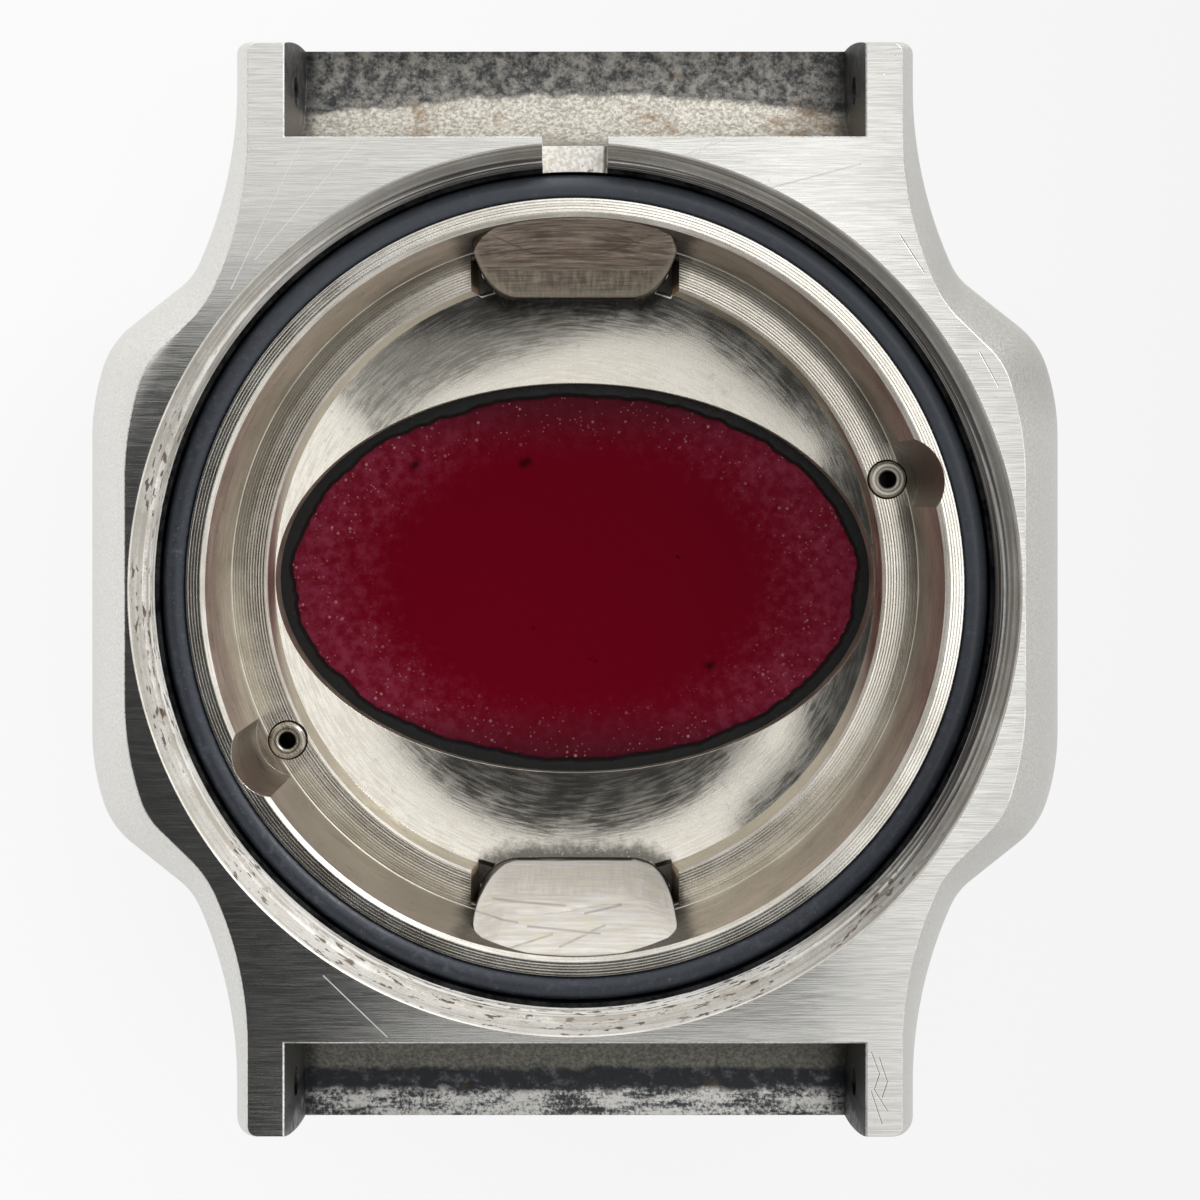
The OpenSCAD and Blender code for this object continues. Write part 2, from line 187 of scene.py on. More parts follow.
# Wear, from point to point: scratches on the back face and rust in the strap hollows; and painted shade along
# the creases in the inserts
SCRATCH_W = 0.035
BACK_SCRATCHES = [
    ((-9.5, -14.6), (-7.1, -16.9)), ((4, 16.4), (5.6, 17)), ((4.5, 16.4), (5.4, 17.1)),
    ((-13, 11.4), (-10.2, 17.2)), ((-12.1, 12.5), (-8.1, 17.1)), ((11.7, 19.5), (12.1, 20.2)),
    ((12.3, 13.4), (13.2, 12)), ((15.3, 9), (16, 7.7)), ((7.4, 15.2), (10.8, 16.1)),
    ((11.2, -17.5), (11.5, -18.3)), ((11.5, -18.3), (11.3, -18.9)), ((11.3, -18.9), (11.8, -19.7)),
    ((11.5, -17.7), (11.8, -18.6)), ((11.8, -18.6), (11.6, -19.2)), ((11.2, -19), (11.6, -20.2)),
]
RUST_STAINS = [
    ((-6.3, 18.4), (-6.1, 19.2)), ((8.2, 18.5), (9, 18.3)), ((9.2, 19.2), (10.4, 18.5)),
    ((3, 18.7), (3.6, 18.4)),
]
# Painted shade along the key notch's right wall, from point to point
NOTCH_SHADE_LINE = ((1.15, 15.9), (1.2, 17.15))
GLASS_SMUDGES = [((-7.1, 4.9), (-7, 5)), ((-2.3, 5), (-2.1, 5.1)), ((5.9, -3.9), (6, -3.9))]
PAD_CREASE_SHADES = [
    ((-4.1, -13.4), (-2.3, -13.6)), ((-1.9, -13.7), (1, -13.9)), ((-3.4, -13), (-0.4, -13.2)),
    ((-2.9, -14.3), (-0.9, -13.9)), ((-0.6, -14.2), (1.2, -13.7)), ((0.4, -13.4), (1.9, -13.2)),
    ((-3.3, 13.9), (-1.6, 13.4)), ((-1.6, 13.4), (1, 13.4)), ((1, 13.4), (3, 13.9)), ((1.6, 14), (2.6, 13.7)),
]
# Direction, in degrees, in which the wall turns browner and darker
WALL_DARKENING_ANGLE = 235

# A length that carries a cut clear of the faces it opens
THROUGH = 1

# Faces that turn by less than this, in degrees, are shaded as one. The tool marks' sides turn by more.
RIDGE_TURN = 16
PAD_TURN = 32
GASKET_TURN = 40

# Steps of a quarter turn in an outline, and of the case's straight side
QUARTER_STEPS = 12
STRAIGHT_STEPS = 3

# Where most of a noise's values lie
NOISE_LOW, NOISE_HIGH = 0.3, 0.7


def along(degrees):
    """The unit vector in a direction of the XY plane."""
    return Vector((math.cos(math.radians(degrees)), math.sin(math.radians(degrees))))


def arc(centre, radius, start, end, steps=2 * QUARTER_STEPS):
    return [Vector(centre) + radius * along(start + (end - start) * i / steps) for i in range(steps + 1)]


def circle(centre, radius, steps):
    return arc(centre, radius, 0, 360, steps)[:-1]


# Mesh building


def shape(name, points, faces, material, slots=()):
    """A mesh object from points in millimetres. slots gives each face's material number."""
    mesh = bpy.data.meshes.new(name)
    mesh.from_pydata([[c * METRES for c in p] for p in points], [], faces)
    if slots:
        mesh.polygons.foreach_set("material_index", slots)
    for m in [material] if isinstance(material, bpy.types.Material) else material:
        mesh.materials.append(m)
    bm = bmesh.new()
    bm.from_mesh(mesh)
    bmesh.ops.recalc_face_normals(bm, faces=bm.faces)
    bm.to_mesh(mesh)
    bm.free()
    made = bpy.data.objects.new(name, mesh)
    bpy.context.scene.collection.objects.link(made)
    return made


def stack(name, rings, material, slots=None):
    """Closed rings of points, one above another, joined by quads and closed at both ends."""
    count = len(rings[0])
    faces, marks = [], []
    for j in range(len(rings) - 1):
        for i in range(count):
            k = (i + 1) % count
            faces.append([j * count + i, j * count + k, (j + 1) * count + k, (j + 1) * count + i])
            marks.append(slots[j + 1] if slots else 0)
    faces += [list(range(count)), [(len(rings) - 1) * count + i for i in range(count)]]
    marks += [slots[0], slots[-1]] if slots else [0, 0]
    return shape(name, [p for ring in rings for p in ring], faces, material, marks)


def turned(name, profile, material, slots=None, segments=360):
    """A profile of (radius, height) points turned about Z. It starts and ends on the axis."""
    points, rings = [], []
    for r, z in profile:
        if r == 0:
            rings.append([len(points)] * segments)
            points.append((0, 0, z))
        else:
            rings.append(list(range(len(points), len(points) + segments)))
            points += [(r * a.x, r * a.y, z) for a in circle((0, 0), 1, segments)]
    faces, marks = [], []
    for j, (low, high) in enumerate(zip(rings, rings[1:])):
        for i in range(segments):
            k = (i + 1) % segments
            faces.append(list(dict.fromkeys([low[i], low[k], high[k], high[i]])))
            marks.append(slots[j] if slots else 0)
    return shape(name, points, faces, material, marks)


def prism_z(name, outline, z0, z1, material, slots=None):
    """An outline of (x, y) points, run along Z."""
    return stack(name, [[(p[0], p[1], z) for p in outline] for z in (z0, z1)], material, slots)


def prism_x(name, outline, half_length, material):
    """An outline of (y, z) points, run along X to both sides of the middle."""
    return stack(name, [[(x, p[0], p[1]) for p in outline] for x in (-half_length, half_length)], material)


def oval(grow):
    """The window's outline, grown outward."""
    return [((LIP_A + grow) * p.x, (LIP_B + grow) * p.y) for p in circle((0, 0), 1, OVAL_STEPS)]


def turn(made, degrees):
    """Turns a mesh round the Z axis."""
    made.data.transform(Matrix.Rotation(math.radians(degrees), 4, "Z"))


def carve(body, cutters, operation="DIFFERENCE"):
    """Cuts the cutters out of the body, one after another. The cut faces keep the cutters' materials."""
    for cutter in cutters:
        step = body.modifiers.new(cutter.name, "BOOLEAN")
        step.operation = operation
        step.solver = "MANIFOLD"
        step.material_mode = "TRANSFER"
        step.object = cutter
    bpy.context.view_layer.update()
    mesh = bpy.data.meshes.new_from_object(body.evaluated_get(bpy.context.evaluated_depsgraph_get()))
    body.modifiers.clear()
    body.data = mesh
    for cutter in cutters:
        bpy.data.objects.remove(cutter)
    return body


def smooth(made, limit):
    """Shades smoothly, with sharp edges where the faces meet at more than the limit in degrees."""
    bm = bmesh.new()
    bm.from_mesh(made.data)
    for face in bm.faces:
        face.smooth = True
    for edge in bm.edges:
        edge.smooth = len(edge.link_faces) == 2 and edge.calc_face_angle(0) < math.radians(limit)
    bm.to_mesh(made.data)
    bm.free()
    return made


# Materials


def colour(code):
    """The linear colour of a hex code."""
    parts = [int(code[i:i + 2], 16) / 255 for i in (1, 3, 5)]
    return tuple(p / 12.92 if p <= 0.04045 else ((p + 0.055) / 1.055) ** 2.4 for p in parts) + (1,)


class Nodes:
    """A node tree, with short ways to add nodes to it."""

    def __init__(self, tree):
        self.tree = tree

    def put(self, socket, value):
        """Links a socket to another, or sets its value. None leaves it as it is."""
        if isinstance(value, bpy.types.NodeSocket):
            self.tree.links.new(value, socket)
        elif value is not None:
            socket.default_value = value

    def fill(self, node, **values):
        """Puts values in a node's inputs by name, written with _ for a space."""
        for name, value in values.items():
            self.put(node.inputs[name.replace("_", " ")], value)
        return node

    def node(self, kind, *values):
        """A new node, with values put in its first inputs."""
        made = self.tree.nodes.new("ShaderNode" + kind)
        for socket, value in zip(made.inputs, values):
            self.put(socket, value)
        return made

    def math(self, operation, *values):
        made = self.node("Math", *values)
        made.operation = operation
        return made.outputs[0]

    def add(self, a, b):
        return self.math("ADD", a, b)

    def times(self, a, b):
        return self.math("MULTIPLY", a, b)

    def minus(self, a, b):
        return self.math("SUBTRACT", a, b)

    def most(self, a, b):
        return self.math("MAXIMUM", a, b)

    def size(self, a):
        """The value without its sign."""
        return self.math("ABSOLUTE", a)

    def weighed(self, first, *rest):
        """The sum of values, each given with its weight."""
        part = self.times(*first)
        return self.add(part, self.weighed(*rest)) if rest else part

    def vector(self, operation, a, b=None):
        made = self.node("VectorMath", a, b)
        made.operation = operation
        return made.outputs["Value" if operation in ("LENGTH", "DISTANCE", "DOT_PRODUCT") else "Vector"]

    def join(self, x, y, z=0.0):
        return self.node("CombineXYZ", x, y, z).outputs[0]

    def span(self, value, low, high, to_low=0.0, to_high=1.0, ease="SMOOTHSTEP"):
        """value's way from low to high, as a number from to_low to to_high."""
        made = self.node("MapRange", value, low, high, to_low, to_high)
        made.interpolation_type = ease
        return made.outputs[0]


class Paint(Nodes):
    """A material. place, x, y, z and r are in the frame's millimetres, and flat is place without z."""

    def __init__(self, name):
        self.material = bpy.data.materials.new(name)
        self.material.use_nodes = True
        super().__init__(self.material.node_tree)
        self.bsdf = self.tree.nodes["Principled BSDF"]
        self.place = self.vector("MULTIPLY", self.node("TexCoord").outputs["Object"], (1 / METRES,) * 3)
        self.x, self.y, self.z = self.node("SeparateXYZ", self.place).outputs
        self.flat = self.join(self.x, self.y)
        self.r = self.vector("LENGTH", self.flat)
        self.normal = self.node("NewGeometry").outputs["Normal"]

    def set(self, **values):
        """Sets the surface's own inputs."""
        self.fill(self.bsdf, **values)

    def noise(self, scale, detail=2.0, roughness=0.5, where=None):
        made = self.node("TexNoise", self.place if where is None else where)
        return self.fill(made, Scale=scale, Detail=detail, Roughness=roughness).outputs[0]

    def streaks(self, sx, sy, sz, detail=2.0, roughness=0.5):
        """Noise with its own scale along each axis."""
        return self.noise(1.0, detail, roughness, self.vector("MULTIPLY", self.place, (sx, sy, sz)))

    def varied(self, noise, low, high):
        """Noise, eased to run between two values."""
        return self.span(noise, NOISE_LOW, NOISE_HIGH, low, high)

    def spots(self, scale, low, high, detail=2.0, roughness=0.5):
        """Patches where noise rises from low to high."""
        return self.span(self.noise(scale, detail, roughness), low, high)

    def cells(self, scale):
        return self.fill(self.node("TexVoronoi", self.place), Scale=scale).outputs["Distance"]

    def blend(self, share, a, b):
        made = self.node("Mix")
        made.data_type = "RGBA"
        self.put(made.inputs["Factor"], share)
        for socket, tint in zip(made.inputs[6:8], (a, b)):
            self.put(socket, colour(tint) if isinstance(tint, str) else tint)
        return made.outputs[2]

    def coat(self, base):
        """Gives the surface a base colour."""
        self.base = base
        self.set(Base_Color=base)

    def veil(self, mask, most, tint):
        """Lays a tint over the base colour where the mask is 1. most is the tint's share there."""
        self.coat(self.blend(self.times(mask, most), self.base, tint))

    def beyond(self, value, low, high, ragged=0.0, scale=1.0):
        """value's way from low to high, with a border that noise makes ragged."""
        if ragged:
            wander = self.minus(self.noise(scale, 4.0, 0.65), 0.5)
            value = self.add(value, self.times(wander, ragged))
        return self.span(value, low, high)

    def line(self, start, end, width):
        """1 on the line between two points of the XY plane, falling to 0 a width away from it."""
        way = Vector(end) - Vector(start)
        heading = (*way.normalized(), 0)
        apart = self.vector("SUBTRACT", self.flat, (*start, 0))
        reached = self.most(self.vector("DOT_PRODUCT", apart, heading), 0.0)
        reached = self.math("MINIMUM", reached, way.length)
        foot = self.vector("MULTIPLY", self.join(reached, reached), heading)
        return self.span(self.vector("DISTANCE", apart, foot), 0.0, width, 1.0, 0.0)

    def lines(self, ends, width):
        total = self.line(*ends[0], width)
        for pair in ends[1:]:
            total = self.most(total, self.line(*pair, width))
        return total

    def off_pads(self):
        """Distance outside the outline of the nearer well insert, seen along Z."""
        sideways = self.minus(self.size(self.x), CUP_W / 2 - CUP_CORNER)
        apart = self.size(self.minus(self.size(self.y), (CUP_OUT + CUP_IN) / 2))
        apart = self.minus(apart, (CUP_OUT - CUP_IN) / 2 - CUP_CORNER)
        corner = self.join(self.most(sideways, 0.0), self.most(apart, 0.0))
        return self.minus(self.vector("LENGTH", corner), CUP_CORNER)

    def rounded(self, radius):
        """A normal that rounds the edges off by a radius."""
        return self.fill(self.node("Bevel"), Radius=radius * METRES).outputs[0]

    def bump(self, height, depth, normal=None):
        return self.fill(self.node("Bump"), Distance=depth * METRES, Height=height, Normal=normal).outputs[0]

    def across(self, line):
        """A tangent across a direction that the surface's fine lines follow."""
        return self.vector("CROSS_PRODUCT", self.normal, line)

    def around(self):
        """The direction round the Z axis, which turned lines follow."""
        return self.join(self.times(self.y, -1.0), self.x)


def metal(paint, roughness, normal, stretch=0.0, line=None, share=1.0):
    """Makes the surface metal. share is how much of it is bare, and stretch draws out its glints."""
    paint.set(Metallic=share, Roughness=roughness, Normal=normal, Anisotropic=stretch)
    if line is not None:
        paint.set(Tangent=paint.across(line))
    return paint.material


def brushed_back():
    """The flat back face: long fine lines along X, broader dull streaks and a few scratches."""
    p = Paint("brushed_back")
    fine = p.streaks(0.7, 32, 32, 2.0, 0.6)
    broad = p.streaks(0.2, 4, 4, 3.0)
    scratch = p.lines(BACK_SCRATCHES, SCRATCH_W)
    nicks = p.spots(5.0, 0.66, 0.7, 3.0, 0.7)
    tone = p.weighed((fine, 0.8), (broad, 0.2))
    p.coat(p.blend(p.span(tone, 0.36, 0.64), "#cccbc6", "#eae9e4"))
    p.veil(nicks, 0.35, "#8c8a84")
    p.veil(scratch, 0.6, "#fbfaf6")
    rough = p.add(p.varied(fine, 0.15, 0.23), p.times(scratch, 0.25))
    normal = p.bump(fine, 0.0015, p.rounded(0.05))
    return metal(p, rough, p.bump(scratch, -0.012, normal), 0.35, (1, 0, 0))


def satin_flank():
    """The leaning flanks: uniform satin with faint lines along X and a few knocks, with painted shade toward
    the right and on the hollow at the upper right.
    """
    p = Paint("satin_flank")
    fine = p.streaks(1, 14, 18, 3.0, 0.6)
    grain = p.noise(9.0, 3.0)
    knocks = p.spots(1.7, 0.66, 0.72, 4.0, 0.7)
    p.coat(p.blend(p.span(p.weighed((fine, 0.6), (grain, 0.4)), 0.38, 0.62), "#e6e5df", "#fffefa"))
    # Painted shade: darker toward the right
    p.coat(p.blend(p.span(p.x, -14.0, 14.0, 0.0, 0.3), p.base, "#8f8d86"))
    # Painted shade on the hollow at the upper right, where the key light falls
    p.veil(p.times(p.span(p.x, 12.0, 15.0), p.span(p.y, 5.5, 8.5)), 0.35, "#8f8d86")
    p.veil(knocks, 0.4, "#b3b0a8")
    rough = p.varied(grain, 0.36, 0.5)
    return metal(p, rough, p.bump(p.add(fine, knocks), 0.008, p.rounded(0.06)), 0.2, (1, 0, 0))


def rings_of(p, pitch, seed, length=2.5, detail=2.0):
    """Turned lines round the axis, each as long as given and a pitch wide along radius and height."""
    out = p.add(p.times(p.add(p.r, p.z), 1 / pitch), seed)
    return p.noise(1.0, detail, where=p.join(p.times(p.x, 1 / length), p.times(p.y, 1 / length), out))


def turned_steel(
    name, light, dark, rough, pitch=0.06, length=2.5, depth=0.004, stretch=0.4, seed=0.0, share=1.0, haze=0.1
):
    """Lathe-turned steel: rings in brightness, gloss and bump, under a cloudy film and fine specks."""
    p = Paint(name)
    rings = rings_of(p, pitch, seed, length)
    cloud = p.noise(0.6, 4.0, 0.6)
    grain = p.noise(12.0, 2.0, 0.7)
    tone = p.weighed((rings, 0.5), (cloud, 0.3), (grain, 0.2))
    p.coat(p.blend(p.span(tone, 0.4, 0.6), dark, light))
    gloss = p.add(p.varied(rings, 0.7 * rough, 1.3 * rough), p.varied(cloud, 0.0, haze))
    normal = p.bump(p.add(rings, p.times(grain, 0.6)), depth, p.rounded(0.04))
    metal(p, gloss, normal, stretch, p.around(), share)
    return p


def soiled_and_shaded(name, light, dark, rough, dirt, **more):
    """Turned steel darker round the well inserts, partly grime and partly painted shade where the inserts
    stand over it. dirt is the grime's share elsewhere.
    """
    p = turned_steel(name, light, dark, rough, **more)
    grime = p.noise(1.6, 5.0, 0.7)
    # Darker round the well inserts: grime, and painted shade from the inserts
    near = p.span(p.add(p.off_pads(), p.times(grime, 1.2)), 0.75, 1.55, 1.0, 0.0)
    specks = p.spots(7.0, 0.6, 0.68, 3.0, 0.7)
    stain = p.times(p.span(grime, 0.58, 0.72), dirt)
    p.coat(p.blend(p.most(p.times(near, 0.85), stain), p.base, "#45423d"))
    p.veil(p.times(specks, near), 0.7, "#cfc9bd")
    return p


def soiled_and_shaded_wall():
    """The wall over the ledge, browner and darker at the lower left."""
    p = soiled_and_shaded("turned_wall", "#e8e1d1", "#bab29f", 0.36, 0.25, seed=5.0, share=0.85)
    lower_left = p.vector("DOT_PRODUCT", p.flat, (*along(WALL_DARKENING_ANGLE), 0))
    p.veil(p.span(lower_left, 12.3, 14.2), 0.55, "#6b6254")
    return p.material


def soiled_and_shaded_ledge():
    """The ledge: peach at its tips beside the well inserts, a painted shade and reflection of the wall in a
    band under the wall's upper half, and painted shade toward the left.
    """
    p = soiled_and_shaded(
        "turned_ledge", "#fffaf0", "#e0d8c9", 0.1, 0.1,
        length=16, seed=7.0, stretch=0.0, depth=0.002, haze=0.05,
    )
    # Painted shade and reflection of the wall on the ledge's outer band, in its upper half
    upper = p.span(p.add(p.y, p.times(p.size(p.x), 0.35)), 2.0, 8.0)
    wall_shade_band = p.times(p.beyond(p.r, 13.75, 13.95, 0.3, 1.5), upper)
    p.veil(wall_shade_band, 0.6, "#4a443b")
    # Painted shade toward the left
    p.coat(p.blend(p.span(p.x, -9.0, 3.0, 0.3, 0.0), p.base, "#8a8172"))
    tip = p.times(p.span(p.off_pads(), 0.35, 0.75, 1.0, 0.0), p.beyond(p.r, 13.5, 13.3, 0.3, 3.0))
    p.veil(tip, 0.85, "#e6bfa0")
    return p.material


def ledge_end():
    """Where the ledge ends at a well insert: peach at the inner corner, painted shade behind it."""
    p = turned_steel("ledge_end", "#f0d2b6", "#c8a78c", 0.4, seed=8.0, share=0.5)
    # Painted shade behind the ledge's end
    shade_behind = p.beyond(p.size(p.y), 12.35, 12.6, 0.3, 3.0)
    p.veil(shade_behind, 0.9, "#4a463f")
    return p.material


def pitted_register():
    """The wall that centres the cover: bright rings with brown pits where the seal held dirt, and painted
    shade over its upper right.
    """
    p = turned_steel(
        "turned_register", "#fffefa", "#cbc5ba", 0.45, pitch=0.2, length=12, seed=2.0, depth=0.008
    )
    pits = p.span(rings_of(p, 0.2, 40.0, 0.55, 4.0), 0.58, 0.62)
    region = p.spots(0.3, 0.4, 0.56)
    lower = p.span(p.add(p.y, p.times(p.x, 0.6)), -6.0, 4.0, 1.0, 0.15)
    dirt = p.times(p.times(pits, region), lower)
    # Painted shade over the upper right of the wall, broken by the rings
    upper_right_tint = p.beyond(p.add(p.times(p.y, 0.8), p.x), -4.0, 8.0, 5.0, 0.3)
    rings = p.span(rings_of(p, 0.2, 60.0, 15.0), 0.45, 0.62, 1.0, 0.2)
    upper_right_tint = p.times(upper_right_tint, p.times(rings, p.span(p.z, STEP_Z, CHAMFER_Z, 1.0, 0.5)))
    p.veil(p.span(p.z, CHAMFER_Z - 0.05, CHAMFER_Z + 0.05), 0.5, "#8f8a80")
    p.veil(upper_right_tint, 0.92, "#2c2c2d")
    p.veil(dirt, 0.9, "#5a4636")
    p.set(Metallic=p.span(dirt, 0.0, 1.0, 0.15, 0.1))
    return p.material


def mottled_cove():
    """The strap hollows: bands of pale, dark and bright steel that are painted reflections of the curved
    cove, mottled by patina, with rust stains and darker ends beside the lugs.
    """
    p = Paint("mottled_cove")
    mottle = p.noise(1.8, 6.0, 0.7)
    speck = p.noise(6.0, 4.0, 0.75)
    streak = p.streaks(0.5, 2.5, 2.5, 4.0, 0.6)
    aside = p.times(p.math("POWER", p.times(p.x, 0.1), 2.0), -0.75)
    upper = p.beyond(p.minus(p.y, aside), 19.75, 20.05, 1.1, 0.9)
    far = p.size(p.y)
    # The bands below, pale and dark at the top and olive, black and bright at the bottom, are painted
    # reflections of the curved cove; their mottle is patina
    pale = p.blend(p.span(speck, 0.35, 0.65), "#a29d92", "#ece7dc")
    pale = p.blend(p.times(p.beyond(p.z, 8.6, 9.4, 1.0, 3.0), 0.55), pale, "#6f685b")
    patina_and_dark_reflection = p.blend(p.span(p.weighed((mottle, 0.6), (speck, 0.4)), 0.4, 0.64), "#3f4042", "#a5a29a")
    top = p.blend(upper, pale, patina_and_dark_reflection)
    olive = p.blend(p.span(speck, 0.35, 0.7), "#6a6962", "#a19f94")
    black = p.blend(p.span(mottle, 0.5, 0.75), "#3c3e42", "#808284")
    bright = p.blend(p.span(p.weighed((streak, 0.5), (speck, 0.5)), 0.42, 0.56), "#505154", "#fffdf8")
    bottom = p.blend(p.beyond(far, 19.6, 19.9, 0.7, 1.4), olive, black)
    bottom = p.blend(p.beyond(far, 20.5, 20.9, 0.9, 1.2), bottom, bright)
    p.coat(p.blend(p.span(p.y, -1.0, 1.0), bottom, top))
    rust = p.most(
        p.times(p.lines(RUST_STAINS, 0.8), p.span(mottle, 0.4, 0.6)),
        p.times(p.spots(0.8, 0.64, 0.74, 3.0), 0.4),
    )
    p.veil(rust, 0.75, "#8a6428")
    p.veil(p.span(p.size(p.x), 10.2, 10.95), 0.7, "#26272a")
    rough = p.varied(speck, 0.4, 0.6)
    height = p.add(mottle, p.weighed((speck, 0.6), (streak, 0.4)))
    return metal(p, rough, p.bump(height, 0.03, p.rounded(0.08)), share=0.75)


def plain_steel(name, light, dark, rough, depth=0.01, share=1.0):
    """Milled steel out of sight of the polish: a soft grain in colour, gloss and bump."""
    p = Paint(name)
    grain = p.noise(6.0, 3.0)
    cloud = p.noise(0.8, 3.0)
    p.coat(p.blend(p.span(p.weighed((cloud, 0.6), (grain, 0.4)), 0.38, 0.62), dark, light))
    gloss = p.varied(grain, rough - 0.06, rough + 0.06)
    return metal(p, gloss, p.bump(grain, depth, p.rounded(0.04)), share=share)


def filed_pad(name, light, dark, stain, rough, share):
    """A filed insert face: strokes along X, stained patches, a worn bright rim and painted shade along its
    creases.
    """
    p = Paint(name)
    strokes = p.streaks(0.45, 5, 5, 4.0, 0.65)
    fine = p.streaks(1.2, 16, 16, 2.0)
    down = p.streaks(6, 0.5, 0.5, 3.0, 0.6)
    cloud = p.noise(0.9, 4.0, 0.6)
    low = p.beyond(p.z, 6.2, 6.6, 0.4, 0.8)
    grain = p.blend(low, p.weighed((strokes, 0.5), (down, 0.5)), strokes)
    tone = p.weighed((grain, 0.6), (fine, 0.15), (cloud, 0.25))
    p.coat(p.blend(p.span(tone, 0.4, 0.62), dark, light))
    p.veil(p.span(cloud, 0.5, 0.68), 0.5, stain)
    rim = p.beyond(p.off_pads(), -0.3, -0.12, 0.2, 3.0)
    p.veil(rim, 0.5, light)
    # Painted shade along the creases
    crease_shade = p.times(p.lines(PAD_CREASE_SHADES, 1.5 * SCRATCH_W), p.span(strokes, 0.3, 0.6, 0.3, 1.0))
    p.veil(crease_shade, 0.5, "#5d564a")
    p.coat(p.blend(p.span(p.off_pads(), -0.06, 0.0), p.base, "#3a3631"))
    gloss = p.varied(strokes, rough - 0.06, rough + 0.08)
    normal = p.bump(p.add(strokes, p.times(fine, 0.4)), 0.02, p.rounded(0.04))
    return metal(p, gloss, normal, share=share)


def window_glass():
    """Dark red glass, with dust and crumbs caught along its edge."""
    p = Paint("window_glass")
    across = p.vector("LENGTH", p.vector("DIVIDE", p.flat, (LIP_A, LIP_B, 1.0)))
    grain = p.noise(2.2, 5.0, 0.7)
    edge = p.span(p.add(across, p.times(p.minus(grain, 0.5), 0.4)), 0.58, 0.96)
    ends = p.span(p.size(p.x), 2.0, 9.0, 0.35, 1.0)
    haze = p.times(p.times(edge, ends), p.span(grain, 0.35, 0.68, 0.14, 0.55))
    fine, coarse = (p.span(p.cells(scale), 0.1, 0.22, 1.0, 0.0) for scale in (4.2, 2.3))
    patches = p.spots(1.3, 0.44, 0.6, 3.0)
    crumbs = p.most(p.times(fine, patches), p.times(coarse, p.span(patches, 0.3, 0.9)))
    crumbs = p.times(crumbs, p.span(across, 0.6, 0.95))
    spots = p.times(p.spots(0.75, 0.7, 0.76, 3.0, 0.7), 0.8)
    p.coat(p.blend(haze, "#720019", "#a24560"))
    p.veil(p.span(p.size(p.y), 5.2, 8.2), 0.6, "#3c1e27")
    p.veil(crumbs, 0.65, "#cf9a9c")
    p.coat(p.blend(p.most(spots, p.times(p.lines(GLASS_SMUDGES, 0.35), 0.8)), p.base, "#2a0008"))
    p.set(Roughness=p.span(haze, 0.0, 0.3, 0.28, 0.5), IOR=1.5, Specular_IOR_Level=0.02)
    p.set(Normal=p.bump(p.add(crumbs, p.times(grain, 0.1)), 0.02, p.rounded(0.05)))
    return p.material


def rubber(name, black, dusty, rough, crumb="#8f8a6a", upper_right_tint=0.0):
    """Black rubber with dust and crumbs caught on it. The last argument is the share of the dusty tint toward
    the upper right, which lightens that side.
    """
    p = Paint(name)
    dust = p.noise(3.0, 5.0, 0.7)
    flecks = p.spots(11.0, 0.66, 0.74)
    crumbs = p.times(p.spots(4.5, 0.64, 0.7, 4.0, 0.8), p.spots(0.5, 0.45, 0.6))
    p.coat(p.blend(p.add(p.span(dust, 0.5, 0.8, 0.0, 0.35), p.times(flecks, 0.35)), black, dusty))
    p.veil(crumbs, 0.6, crumb)
    if upper_right_tint:
        p.veil(p.span(p.add(p.y, p.times(p.x, 0.5)), -4.0, 15.0), upper_right_tint, dusty)
    p.set(Roughness=p.varied(dust, rough - 0.08, rough + 0.1), IOR=1.5)
    p.set(Normal=p.bump(p.add(dust, p.add(flecks, crumbs)), 0.012))
    return p.material


def notch_floor():
    """The key notch: pale steel with crumbs, and painted shade in a line down its right side."""
    p = Paint("notch_floor")
    grain = p.noise(6.0, 3.0)
    crumbs = p.spots(3.5, 0.62, 0.68, 4.0, 0.7)
    p.coat(p.blend(p.span(grain, 0.38, 0.62), "#e4ddd0", "#fffefa"))
    # Crumbs, and painted shade along the right wall
    p.veil(p.most(crumbs, p.line(*NOTCH_SHADE_LINE, 0.14)), 0.85, "#3d352b")
    return metal(p, 0.45, p.bump(p.add(grain, crumbs), 0.03, p.rounded(0.04)), share=0.5)


def turned_bush():
    """A bush: fine rings, a stained foot and painted shade that blackens its bore."""
    p = turned_steel("turned_bush", "#fffaf0", "#d8d1c3", 0.3, pitch=0.05, share=0.6)
    centres = [BUSH_RING_R * along(angle) for angle in BUSH_ANGLES]
    away = p.math("MINIMUM", *(p.vector("DISTANCE", p.flat, (*centre, 0)) for centre in centres))
    p.veil(p.times(p.span(away, 0.45, 0.48), p.span(away, 0.54, 0.57, 1.0, 0.0)), 0.6, "#3b362f")
    # Painted shade: the bore is black
    outside = p.span(away, BUSH_BORE_R - 0.03, BUSH_BORE_R + 0.03)
    p.coat(p.blend(outside, "#050404", p.base))
    p.set(Specular_IOR_Level=0.2, Metallic=outside)
    return p.material


BACK = brushed_back()
FLANK = satin_flank()
CHAMFER = turned_steel("turned_chamfer", "#fffbf2", "#d6d1c6", 0.42, seed=1.0, share=0.5).material
# Painted highlight: near white steel on the fine bevels along the back face's edges
EDGE_HIGHLIGHT = plain_steel("worn_edge", "#ffffff", "#dcd9d2", 0.3, share=0.6)
# Painted shade: dark steel on the sides of the gaps in the ledge
LEDGE_GAP_SHADE = plain_steel("packed_grime", "#57524a", "#35322d", 0.6, depth=0.03, share=0.0)
REGISTER = pitted_register()
